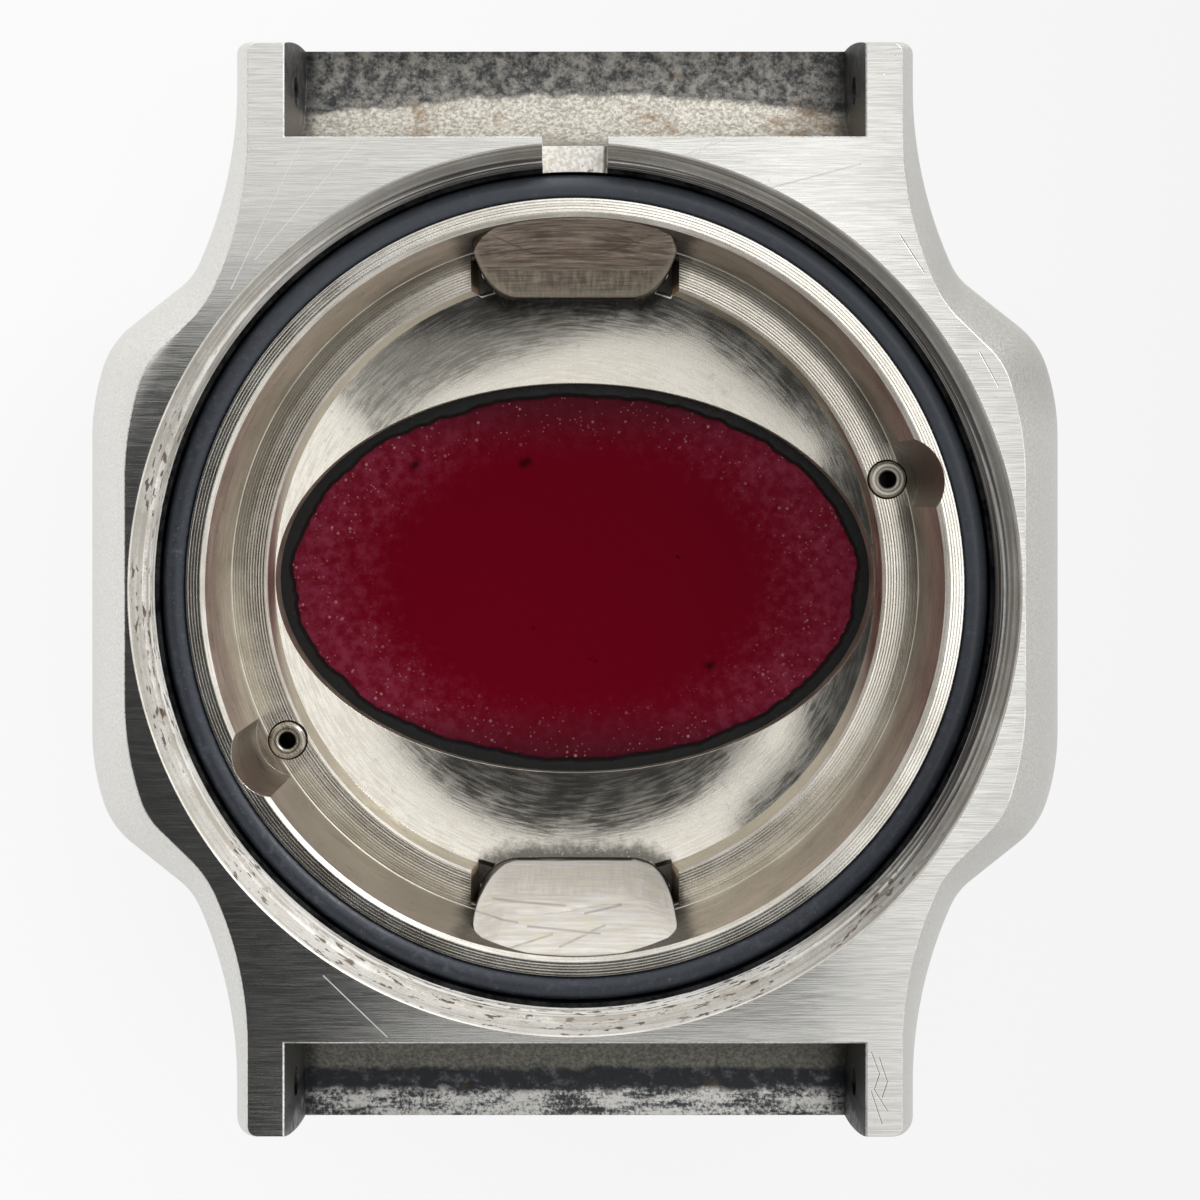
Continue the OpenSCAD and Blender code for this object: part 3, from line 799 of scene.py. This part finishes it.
# Painted shade: near black steel in the sealing groove and round the bushes
GROOVE_SHADE = plain_steel("sealing_groove", "#3a3b3d", "#17181a", 0.5)
LAND = turned_steel(
    "turned_land", "#fffbf2", "#d6d0c2", 0.1, length=20, seed=3.0, stretch=0.0, depth=0.002, haze=0.05
).material
WALL = soiled_and_shaded_wall()
SCALLOP = soiled_and_shaded("milled_scallop", "#a99c8b", "#776c5e", 0.34, 0.4, seed=6.0, stretch=0.0).material
LEDGE = soiled_and_shaded_ledge()
BREAK = ledge_end()
DISH = soiled_and_shaded(
    "turned_dish", "#f6f1e5", "#dfd9cc", 0.06, 0.2,
    pitch=0.12, length=1, depth=0.0002, seed=9.0, stretch=0.0, haze=0.03,
).material
COVE = mottled_cove()
NOTCH = notch_floor()
MILLED = plain_steel("milled_steel", "#c9c4b8", "#8f8b82", 0.35)
RED_GLASS = window_glass()
GASKET = rubber("gasket_rubber", "#0d0e10", "#3a3438", 0.6)
RING_RUBBER = rubber("ring_rubber", "#2b3039", "#747a82", 0.42, crumb="#8a9098", upper_right_tint=0.35)
BUSH = turned_bush()
# Both inserts are of one steel, in a shaded and a lit copy: the upper is painted darker and the lower near
# white, as painted shade and painted light
SHADED_TOP_PAD = filed_pad("filed_top_pad", "#e6dfd1", "#8f887b", "#a09d80", 0.42, 0.5)
LIT_BOTTOM_PAD = filed_pad("filed_bottom_pad", "#fffefa", "#ebe6db", "#f3edcd", 0.5, 0.05)
PUSHER = plain_steel("pusher_steel", "#d9d7d0", "#a9a69d", 0.3)
MAGNET = plain_steel("magnet_grey", "#6a6b70", "#454649", 0.5)
SPRING = plain_steel("spring_wire", "#dcdcdc", "#a8a8a8", 0.25)


# The case


def quarter(w, lug_w, reach, straight, arcs):
    """A quarter of the outline, from the wing on the X axis to the end of the lug: a gentle and a tight bend,
    a straight slope, a tight and a long hollow, and the lug's corner."""
    radii, ends = zip(*arcs)
    bends = list(zip((radii[0], radii[1], -radii[2], -radii[3]), (0, *ends), ends))
    width = sum(radius * (along(start).x - along(end).x) for radius, start, end in bends)
    points = [Vector((w, straight * i / STRAIGHT_STEPS)) for i in range(1, STRAIGHT_STEPS + 1)]
    for n, (radius, start, end) in enumerate(bends):
        points += arc(points[-1] - radius * along(start), radius, start, end, QUARTER_STEPS)[1:]
        if n == 1:
            slope = (w - lug_w - width) / math.sin(math.radians(end))
            points.append(points[-1] + slope * along(end + 90))
    return points + arc((lug_w - TIP_CORNER, reach - TIP_CORNER), TIP_CORNER, 0, 90, QUARTER_STEPS // 2)


def whole(q):
    """The whole outline, from a quarter of it."""
    back = q[::-1]
    points = q + [Vector((-p.x, p.y)) for p in back] + [Vector((-p.x, -p.y)) for p in q]
    return points + [Vector((p.x, -p.y)) for p in back]


def barrel_z(y):
    """The height of the front: flat in the middle, then curved back to the lugs."""
    past = max(abs(y) - FRONT_FLAT, 0)
    return FRONT_R - math.sqrt(FRONT_R**2 - past**2)


def case_blank():
    """The case before anything is cut: flanks lofted between the back outline and the waist outline."""
    back = whole(quarter(
        WING_HALF_W - WING_LEAN, LUG_HALF_W - LUG_LEAN, LUG_REACH - TIP_LEAN, WING_STRAIGHT, BACK_ARCS
    ))
    waist = whole(quarter(WING_HALF_W, LUG_HALF_W, LUG_REACH, WING_STRAIGHT + WAIST_MORE, WAIST_ARCS))
    bevel = EDGE_BEVEL / WING_LEAN
    top = CASE_H - EDGE_BEVEL
    levels = [(CASE_H - EDGE_BEVEL * down, -bevel * out) for down, out in BEVEL_ROUND]
    for i in range(UPPER_RINGS + 1):
        t = i / UPPER_RINGS
        levels.append((top - (top - WAIST_Z) * t, math.sin(math.radians(90 * t)) ** FLANK_POWER))
    full = math.radians(LOWER_SWEEP)
    for i in range(1, LOWER_RINGS + 1):
        a = math.radians(LOWER_SWEEP * i / LOWER_RINGS)
        share = 1 - FRONT_ROUND / WING_LEAN * (1 - math.cos(a)) / (1 - math.cos(full))
        levels.append((WAIST_Z * (1 - math.sin(a) / math.sin(full)), share))
    levels.append((-THROUGH, levels[-1][1]))
    rings = [[(*(b + share * (w - b)), z) for b, w in zip(back, waist)] for z, share in levels]
    slots = [0] + [2] * len(BEVEL_ROUND) + [1] * (len(rings) - len(BEVEL_ROUND))
    return stack("case_shell", rings, [BACK, FLANK, EDGE_HIGHLIGHT], slots)


def front_cutter():
    """What the curved front leaves away."""
    reach = LUG_REACH + THROUGH
    curve = [(y, barrel_z(y)) for y in (reach * (2 * i / FRONT_STEPS - 1) for i in range(FRONT_STEPS + 1))]
    curve += [(reach, -2 * THROUGH), (-reach, -2 * THROUGH)]
    return prism_x("front_cut", curve, FRONT_CUT_HALF_W, FLANK)


def dish_height(r):
    """The height of the dish, part of a sphere that rises outward to INNER_R."""
    return DISH_Z + math.sqrt(DISH_R**2 - INNER_R**2) - math.sqrt(DISH_R**2 - r**2)


def ridged(start, end, count, mark, deep=RIDGE_D):
    """A straight stretch of a turned profile, cut up by fine tool marks. It leaves out the end point."""
    start, end = Vector(start), Vector(end)
    outward = (end - start).orthogonal().normalized()
    points = []
    for i in range(count):
        for share, depth in RIDGE_FORM:
            points.append(((start + (end - start) * (i + share) / count + outward * depth * deep)[:], mark))
    return points


def opening_cutter():
    """The stepped back opening, from the mouth down to the dish, with small breaks at its edges."""
    groove_out = SEAL_R + SEAL_T / 2 + SEAL_CLEAR
    groove_in = SEAL_R - SEAL_T / 2 - SEAL_CLEAR
    groove_z = SEAL_Z - SEAL_T / 2 - SEAL_CLEAR
    foot_z = LEDGE_Z + LEDGE_RISE
    mouth, register, groove, land, wall, ledge, dish = range(7)
    steps = [
        ((0, CASE_H + THROUGH), mouth), ((MOUTH_R, CASE_H + THROUGH), mouth), ((MOUTH_R, CASE_H), mouth),
        *ridged((MOUTH_R - EDGE_W, CASE_H - EDGE_W), (STEP_R, CHAMFER_Z), 4, register),
        *ridged((STEP_R, CHAMFER_Z), (STEP_R, STEP_Z), 2, register), ((STEP_R, STEP_Z), register),
        *ridged((REGISTER_R, STEP_Z), (REGISTER_R, REGISTER_Z), 8, register),
        ((REGISTER_R, REGISTER_Z), groove), ((groove_out, REGISTER_Z), groove),
        ((groove_out, groove_z), groove), ((groove_in, groove_z), groove),
        *ridged((groove_in, LAND_Z + LAND_RISE), (BORE_R + LAND_CHAMFER, LAND_Z), 5, land, FINE_RIDGE_D),
        ((BORE_R + LAND_CHAMFER, LAND_Z), mouth),
        ((BORE_R, LAND_Z - LAND_CHAMFER), wall), ((BORE_R, foot_z + WALL_FILLET), mouth),
        *ridged((BORE_R - WALL_FILLET, foot_z), (INNER_R + LEDGE_CHAMFER, LEDGE_Z), 12, ledge, LEDGE_RIDGE_D),
        ((INNER_R + LEDGE_CHAMFER, LEDGE_Z), mouth), ((INNER_R, LEDGE_Z - LEDGE_CHAMFER), wall),
    ]
    for i in range(DISH_BANDS + 1):
        r = INNER_R + (DISH_FOOT_R - INNER_R) * i / DISH_BANDS
        steps.append(((r, dish_height(r)), dish))
    steps.append(((0, dish_height(DISH_FOOT_R)), dish))
    materials = [CHAMFER, REGISTER, GROOVE_SHADE, LAND, WALL, LEDGE, DISH]
    return turned("opening_cut", [s[0] for s in steps], materials, [s[1] for s in steps], OPENING_SEGMENTS)


def stadium(width, length, middle):
    """An outline with round ends, across the Y axis."""
    half = length / 2
    x = width / 2 - half
    return arc((x, middle), half, -90, 90) + arc((-x, middle), half, 90, 270)


def rounded_box(width, length, middle, corner):
    """A rectangle's outline with round corners, across the Y axis."""
    x, y = width / 2 - corner, length / 2 - corner
    corners = ((x, y, 0), (-x, y, 90), (-x, -y, 180), (x, -y, 270))
    return [p for cx, cy, a in corners for p in arc((cx, middle + cy), corner, a, a + 90, QUARTER_STEPS)]


def cup_form(grow, cut):
    """The outline of a well insert, cut by a form that holds its filed face."""
    size = (CUP_W + 2 * grow, CUP_OUT - CUP_IN + 2 * grow)
    outline = rounded_box(*size, (CUP_OUT + CUP_IN) / 2, CUP_CORNER + grow)
    post = prism_z("post", outline, -2 * THROUGH, CASE_H, MILLED)
    wide, narrow = CUP_W / 2 + grow, CUP_TOP_W / 2 + grow
    high, low = PAD_TOP_Z + grow, CUP_ROUND_Z
    side = [(narrow + (wide - narrow) * a.x, low + (high - low) * a.y) for a in arc((0, 0), 1, 0, 90)]
    side = [(wide, -3 * THROUGH)] + side
    side += [(-x, z) for x, z in side[::-1]]
    front = stack("front", [[(x, y, z) for x, z in side] for y in (0, LUG_REACH)], MILLED)
    top_r = CUP_TOP_R - CUP_CLEAR + grow
    limit = turned("limit", [
        (0, -3 * THROUGH), (LUG_REACH, -3 * THROUGH), (LUG_REACH, CUP_SHOULDER_Z + grow),
        (top_r, CUP_SHOULDER_Z + grow), (top_r, CASE_H + THROUGH), (0, CASE_H + THROUGH),
    ], MILLED)
    return carve(post, [cut, front, limit], "INTERSECT")


def pocket_cutter(side):
    """The pocket of a well insert."""
    grow = CUP_CLEAR
    made = cup_form(grow, prism_x("side_cut", [
        (CUP_IN - grow, -3 * THROUGH), (CUP_IN - grow, PAD_FOOT_Z), (PAD_BEND_Y - grow, PAD_BEND_Z),
        (PAD_TOP_Y - grow, PAD_TOP_Z + grow), (CUP_OUT + grow, PAD_TOP_Z + grow),
        (CUP_OUT + grow, -3 * THROUGH),
    ], CUP_W, MILLED))
    made.name = f"pocket_{side}"
    if side < 0:
        turn(made, 180)
    return made


def facets(z, slant=0):
    """How far out the foot facet and the top facet of an insert lie at a height."""
    bend = PAD_BEND_Z + slant
    foot = CUP_IN + (PAD_BEND_Y - CUP_IN) * (z - PAD_FOOT_Z) / (PAD_BEND_Z - PAD_FOOT_Z)
    return foot, PAD_BEND_Y + (PAD_TOP_Y - PAD_BEND_Y) * (z - bend) / (PAD_TOP_Z - bend)


def strokes(x, z, coarse, fine, seed):
    """How far a file's strokes stand out of a face. coarse and fine are their waves along X and Z."""
    high = STROKE_D * noise.noise((coarse[0] * x, coarse[1] * z, seed))
    return abs(high + FINE_STROKE_D * noise.noise((fine[0] * x, fine[1] * z, seed + 1)))


def upper_face(x, z):
    """How far out the upper insert's face lies: a foot facet under a scooped one, with a smiling crease."""
    foot, top = facets(z)
    smile = 0.014 * x * x
    scoop = 0.16 * max(0, 1 - (x / 3.7) ** 2) * max(0, 1 - ((z - 8.9) / 1.9) ** 2)
    grooves = FINE_STROKE_D * noise.noise((4.5 * x, 0.3 * z, 3))
    worn = 0.35 * max(0, x - 3.1) * max(0, 1 - abs(z - 9.3))
    return max(foot + abs(grooves), top - smile + scoop + strokes(x, z, (0.35, 3.5), (0.6, 9), 1)) + worn


def lower_face(x, z):
    """The same for the lower insert, turned round: more facets, a slanting crease and deeper strokes."""
    foot, top = facets(z, 0.1 * x)
    end = foot + 0.32 * (-x - 2.3 - 0.25 * math.sin(0.9 * z))
    side = top + 0.28 * (x - 3.1 + 0.2 * math.sin(z))
    above_tear = z - 7.3 - 0.16 * x - 0.2 * math.sin(1.3 * x)
    tear = 0.12 * math.exp(-(above_tear / 0.14) ** 2) * max(0, 1 - (x / 3.4) ** 2)
    return max(foot, top, end, side) + strokes(x, z, (0.4, 3), (0.7, 8), 11) + tear


def filed_insert(name, side, face, material):
    """A well insert with a hand-filed face and its closed well, which opens at the front."""
    rings = []
    heights = [PAD_FOOT_Z + (PAD_TOP_Z - PAD_FOOT_Z) * k / PAD_ROWS for k in range(PAD_ROWS + 1)]
    for i in range(PAD_COLUMNS + 1):
        x = CUP_W * (i / PAD_COLUMNS - 0.5) * PAD_OVERRUN
        ring = [(x, face(x, z), z) for z in heights]
        top = max(ring[-1][1], PAD_TOP_Y)
        ring += [(x, top + THROUGH, PAD_TOP_Z), (x, CUP_OUT + THROUGH, PAD_TOP_Z)]
        ring += [(x, CUP_OUT + THROUGH, -3 * THROUGH), (x, CUP_IN, -3 * THROUGH)]
        rings.append(ring)
    made = cup_form(0, stack("side_cut", rings, material))
    well = prism_z("well", stadium(WELL_W, WELL_L, WELL_Y), -4 * THROUGH, WELL_TOP, MILLED)
    carve(made, [well, front_cutter()])
    made.name = name
    if side < 0:
        turn(made, 180)
    return smooth(made, PAD_TURN)


def ragged_gasket():
    """The gasket: an L-shaped ring whose thin inner edge is torn and swollen unevenly."""
    glass_z = GLASS_SINK + GLASS_T + GASKET_CLEAR
    inside = GLASS_LAP + GASKET_CLEAR
    torn_edge = [
        (-GASKET_SHOW, glass_z), (-GASKET_SHOW, glass_z + 0.5 * GASKET_T),
        (-GASKET_SHOW + GASKET_BEVEL, glass_z + GASKET_T),
    ]
    section = [(inside, GLASS_SINK), (inside, glass_z)] + torn_edge
    section += [(inside + GASKET_T, glass_z + GASKET_T), (inside + GASKET_T, GLASS_SINK)]
    points, faces = [], []
    for a in circle((0, 0), 1, GASKET_STEPS):
        torn = sum(deep * noise.noise((waves * a.x, waves * a.y, seed)) for deep, waves, seed in GASKET_TEARS)
        for grow, z in section:
            grow += torn if (grow, z) in torn_edge else 0
            points.append(((LIP_A + grow) * a.x, (LIP_B + grow) * a.y, z))
    count = len(section)
    for i in range(GASKET_STEPS):
        j = (i + 1) % GASKET_STEPS
        for k in range(count):
            n = (k + 1) % count
            faces.append((i * count + k, i * count + n, j * count + n, j * count + k))
    return smooth(shape("ragged_gasket", points, faces, GASKET), GASKET_TURN)


def strap_cutter(side):
    """The hollow between two lugs: a round cove that opens outward and to the back."""
    curve = arc((COVE_Y + COVE_R, COVE_Z), COVE_R, 180, 360, 4 * QUARTER_STEPS)
    far = LUG_REACH + 2 * COVE_R
    top = CASE_H + THROUGH
    curve = [p for p in curve if p.x < far] + [(far, COVE_Z), (far, top), (COVE_Y, top)]
    return prism_x("strap_cut", [(side * p[0], p[1]) for p in curve], STRAP_W / 2, COVE)


def ledge_break(side):
    """The gap in the ledge at a well insert, with slanting ends."""
    rim = BORE_R - LEDGE_BREAK_RIM
    wide = LEDGE_BREAK_W / 2
    rings = []
    for half, z in ((wide - LEDGE_BREAK_SLANT, DISH_Z), (wide, LEDGE_Z + WALL_FILLET)):
        spread = math.degrees(math.asin(half / rim))
        foot = rim - 3 * THROUGH
        curve = arc((0, 0), rim, 90 - spread, 90 + spread) + [Vector((-half, foot)), Vector((half, foot))]
        rings.append([(p.x, side * p.y, z) for p in curve])
    # The gap's sides carry painted shade
    return stack("ledge_break", rings, [BREAK, LEDGE_GAP_SHADE], [1, 0, 0])


def strap_edge(side):
    """A bevel round a strap hollow, bright with a painted highlight."""
    far = LUG_REACH + THROUGH
    rings = []
    for grow, z in ((0, CASE_H - EDGE_W), (EDGE_W, CASE_H), (EDGE_W, CASE_H + THROUGH)):
        half, near = STRAP_W / 2 + grow, COVE_Y - grow
        rings.append([(x, side * y, z) for x, y in ((-half, near), (half, near), (half, far), (-half, far))])
    return stack("strap_edge", rings, EDGE_HIGHLIGHT)


def build_case():
    """The case, with the opening, the strap hollows and every seat cut out of its blank."""
    case = case_blank()
    cutters = [front_cutter(), opening_cutter()]
    for side in (1, -1):
        cutters.append(strap_cutter(side))
        for end in (1, -1):
            hole = [(p.x + side * BAR_Y, p.y + BAR_Z) for p in circle((0, 0), BAR_HOLE_R, 32)]
            made = prism_x("bar_hole", hole, BAR_HOLE_L / 2 + THROUGH / 2, COVE)
            middle = end * (STRAP_W / 2 + BAR_HOLE_L / 2 - THROUGH / 2)
            made.data.transform(Matrix.Translation((middle * METRES, 0, 0)))
            cutters.append(made)
        cutters += [ledge_break(side), pocket_cutter(side), strap_edge(side)]
    far = COVE_Y + THROUGH
    notch = [(-NOTCH_W / 2, SEAL_R), (NOTCH_W / 2, SEAL_R), (NOTCH_W / 2, far), (-NOTCH_W / 2, far)]
    cutters.append(prism_z("key_notch", notch, NOTCH_Z, CASE_H + THROUGH, NOTCH))
    cutters.append(prism_z("lip_cut", oval(0), -THROUGH, DISH_Z + LEDGE_CHAMFER, WALL))
    round_gasket = GASKET_T + 2 * GASKET_CLEAR
    pocket = oval(GLASS_LAP + round_gasket)
    cutters.append(prism_z("pocket_cut", pocket, -THROUGH, GLASS_SINK + GLASS_T + round_gasket, MILLED))
    for angle in BUSH_ANGLES:
        for radius, ring, low, high, material in (
            (HEAD_R, HEAD_RING_R, HEAD_FLOOR, CASE_H - LEDGE_Z, [SCALLOP, LEDGE]),
            (BUSH_R, BUSH_RING_R, -BUSH_SUNK, THROUGH, [GROOVE_SHADE] * 2),
            (BUSH_R + BUSH_GROOVE_W, BUSH_RING_R, -BUSH_GROOVE_D, 0.9 * THROUGH, [GROOVE_SHADE] * 2),
        ):
            outline = circle(ring * along(angle), radius, 8 * QUARTER_STEPS)
            cutters.append(prism_z("bush_cut", outline, LEDGE_Z + low, LEDGE_Z + high, material, [1, 0, 0]))
    carve(case, cutters)
    return smooth(case, RIDGE_TURN)


def dressed(made, node):
    """Puts a piece of the scene in the place of a node of the case."""
    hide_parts(node)
    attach(made, "case")


dressed(build_case(), "case_body")
dressed(filed_insert("upper_filed_insert", 1, upper_face, SHADED_TOP_PAD), "upper_well_insert")
dressed(filed_insert("lower_filed_insert", -1, lower_face, LIT_BOTTOM_PAD), "lower_well_insert")
dressed(ragged_gasket(), "window_gasket")

# The other pieces keep their form and get a material
kept = {"window": RED_GLASS, "back_sealing_ring": RING_RUBBER}
kept |= {"right_screw_bush": BUSH, "left_screw_bush": BUSH}
for side in ("upper", "lower"):
    kept |= {f"{side}_pusher": PUSHER, f"{side}_magnet": MAGNET}
    kept |= {f"{side}_{kind}": SPRING for kind in ("left_spring", "right_spring", "cross_pin")}
for node, material in kept.items():
    mesh = frame["nodes"][node].data
    mesh.materials.clear()
    mesh.materials.append(material)


# Stage

FLOOR_HALF = 400
FLOOR_Z = -0.02
# The paper is painted darker from left to right over this half width: painted shade, which the flanks pick up
FADE_HALF_W = 30
PAPER_LEFT, PAPER_RIGHT = 0.97, 0.38
# Shares of plain white in the paper, as the camera and as the steel see it
PAPER_SEEN, PAPER_MIRRORED = 0.85, 0.5

CARD_Z = CASE_H + 73.3
CARD_DARK = (0.02, 0.02, 0.022, 1)
LENS_R = 13.9
# The sky brightens this way, from the low to the high of its lean
SKY_WAY = (0.8, 0.9, 0.45)
SKY_LEAN = (-0.6, 0.3)
SKY_GLOW = (0.2, 0.96)

EYE = (0, 3.4, CASE_H + 73)
SENSOR_W = 36
FOCAL_LENGTH = 57.9
PHOTO_W = 1200
# Where the camera's axis meets the photo, in pixels from its upper left
AXIS_X, AXIS_Y = 575, 500


def floor():
    """White paper, near plain white to the camera and dimmer in the steel, with painted shade toward the
    right.
    """
    p = Paint("floor_paper")
    p.coat(p.span(p.x, -FADE_HALF_W, FADE_HALF_W, PAPER_LEFT, PAPER_RIGHT, "LINEAR"))
    p.set(Roughness=0.9)
    path = p.node("LightPath").outputs
    share = p.times(path["Is Glossy Ray"], PAPER_MIRRORED)
    share = p.math("MULTIPLY_ADD", path["Is Camera Ray"], PAPER_SEEN, share)
    glow = p.fill(p.node("Emission"), Strength=1.0)
    mixed = p.node("MixShader", share, p.bsdf.outputs[0], glow.outputs[0]).outputs[0]
    p.fill(p.tree.nodes["Material Output"], Surface=mixed)
    half = FLOOR_HALF
    corners = [(x, y, FLOOR_Z) for x, y in ((-half, -half), (half, -half), (half, half), (-half, half))]
    made = shape("floor", corners, [(0, 1, 2, 3)], p.material)


def card(name, corners, glow=0.0):
    """A card beside the camera, which the flats and the dish mirror. It is black, or glows."""
    p = Paint(name)
    p.set(Base_Color=CARD_DARK, Emission_Color=(1, 1, 1, 1), Emission_Strength=glow)
    made = shape(name, [(x, y, CARD_Z) for x, y in corners], [list(range(len(corners)))], p.material)
    made.visible_camera = made.visible_diffuse = made.visible_shadow = False


def mirrored(low, high, start, end):
    """What a flat ring round the axis mirrors at the camera's height, between two radii and two angles."""
    middle = (0, -EYE[1])
    return arc(middle, high, start, end) + arc(middle, low, end, start)


def softbox(name, place, size, power):
    light = bpy.data.lights.new(name, "AREA")
    light.shape = "ELLIPSE"
    light.size, light.size_y = size[0] * METRES, size[1] * METRES
    light.energy = power
    made = bpy.data.objects.new(name, light)
    bpy.context.scene.collection.objects.link(made)
    made.location = Vector(place) * METRES
    made.rotation_euler = (-Vector(place)).to_track_quat("-Z", "Y").to_euler()


def world():
    """A sky that is bright toward the upper right and white to the camera."""
    made = bpy.data.worlds.new("studio")
    bpy.context.scene.world = made
    made.use_nodes = True
    sky = Nodes(made.node_tree)
    lean = sky.vector("DOT_PRODUCT", sky.node("TexCoord").outputs["Generated"], SKY_WAY)
    glow = sky.most(sky.span(lean, *SKY_LEAN, *SKY_GLOW), sky.node("LightPath").outputs["Is Camera Ray"])
    sky.fill(sky.tree.nodes["Background"], Color=glow, Strength=1.0)


def camera():
    """The phone's place over the open back."""
    data = bpy.data.cameras.new("camera")
    data.sensor_width = SENSOR_W
    data.lens = FOCAL_LENGTH
    data.shift_x, data.shift_y = (PHOTO_W / 2 - AXIS_X) / PHOTO_W, (AXIS_Y - PHOTO_W / 2) / PHOTO_W
    data.clip_start, data.clip_end = 0.005, 5
    made = bpy.data.objects.new("camera", data)
    bpy.context.scene.collection.objects.link(made)
    made.location = Vector(EYE) * METRES
    bpy.context.scene.camera = made


floor()
# The phone and the hand that holds it, dark in the left of the back face and in the dish
card("side_card", [
    (17, -20.4), (19.5, -30), (19, -36.5), (-8, -36.5), (-14, -38), (-20, -64), (-120, -64), (-120, 24),
    (-34, 20), (-25, 17.5), (-18, 20), (-9, 20.5), (-11.5, 11.5), (-15, 8), (-17, -13), (-8, -20.4),
])
card("lens_card", circle((0, 0), LENS_R, 4 * QUARTER_STEPS))
# A dim gap beside it, and the bright parts of the room that the ledge, the land and a lug mirror
card("haze_card", [(-2, -20.4), (9, -16.4), (13.5, -13), (16, -16), (17, -20.4)], glow=0.2)
card("ledge_card", mirrored(25, 28.3, -15, 85), glow=2.3)
card("land_card", mirrored(28.4, 31.5, -35, 100), glow=1.35)
card("glare_card", [(18.6 + 5 * a.x, 29 + 9 * a.y) for a in circle((0, 0), 1, 4 * QUARTER_STEPS)], glow=1.25)
softbox("key_softbox", place=(220, 250, 100), size=(160, 120), power=0.53)
world()
camera()
bpy.context.scene.view_settings.view_transform = "Standard"
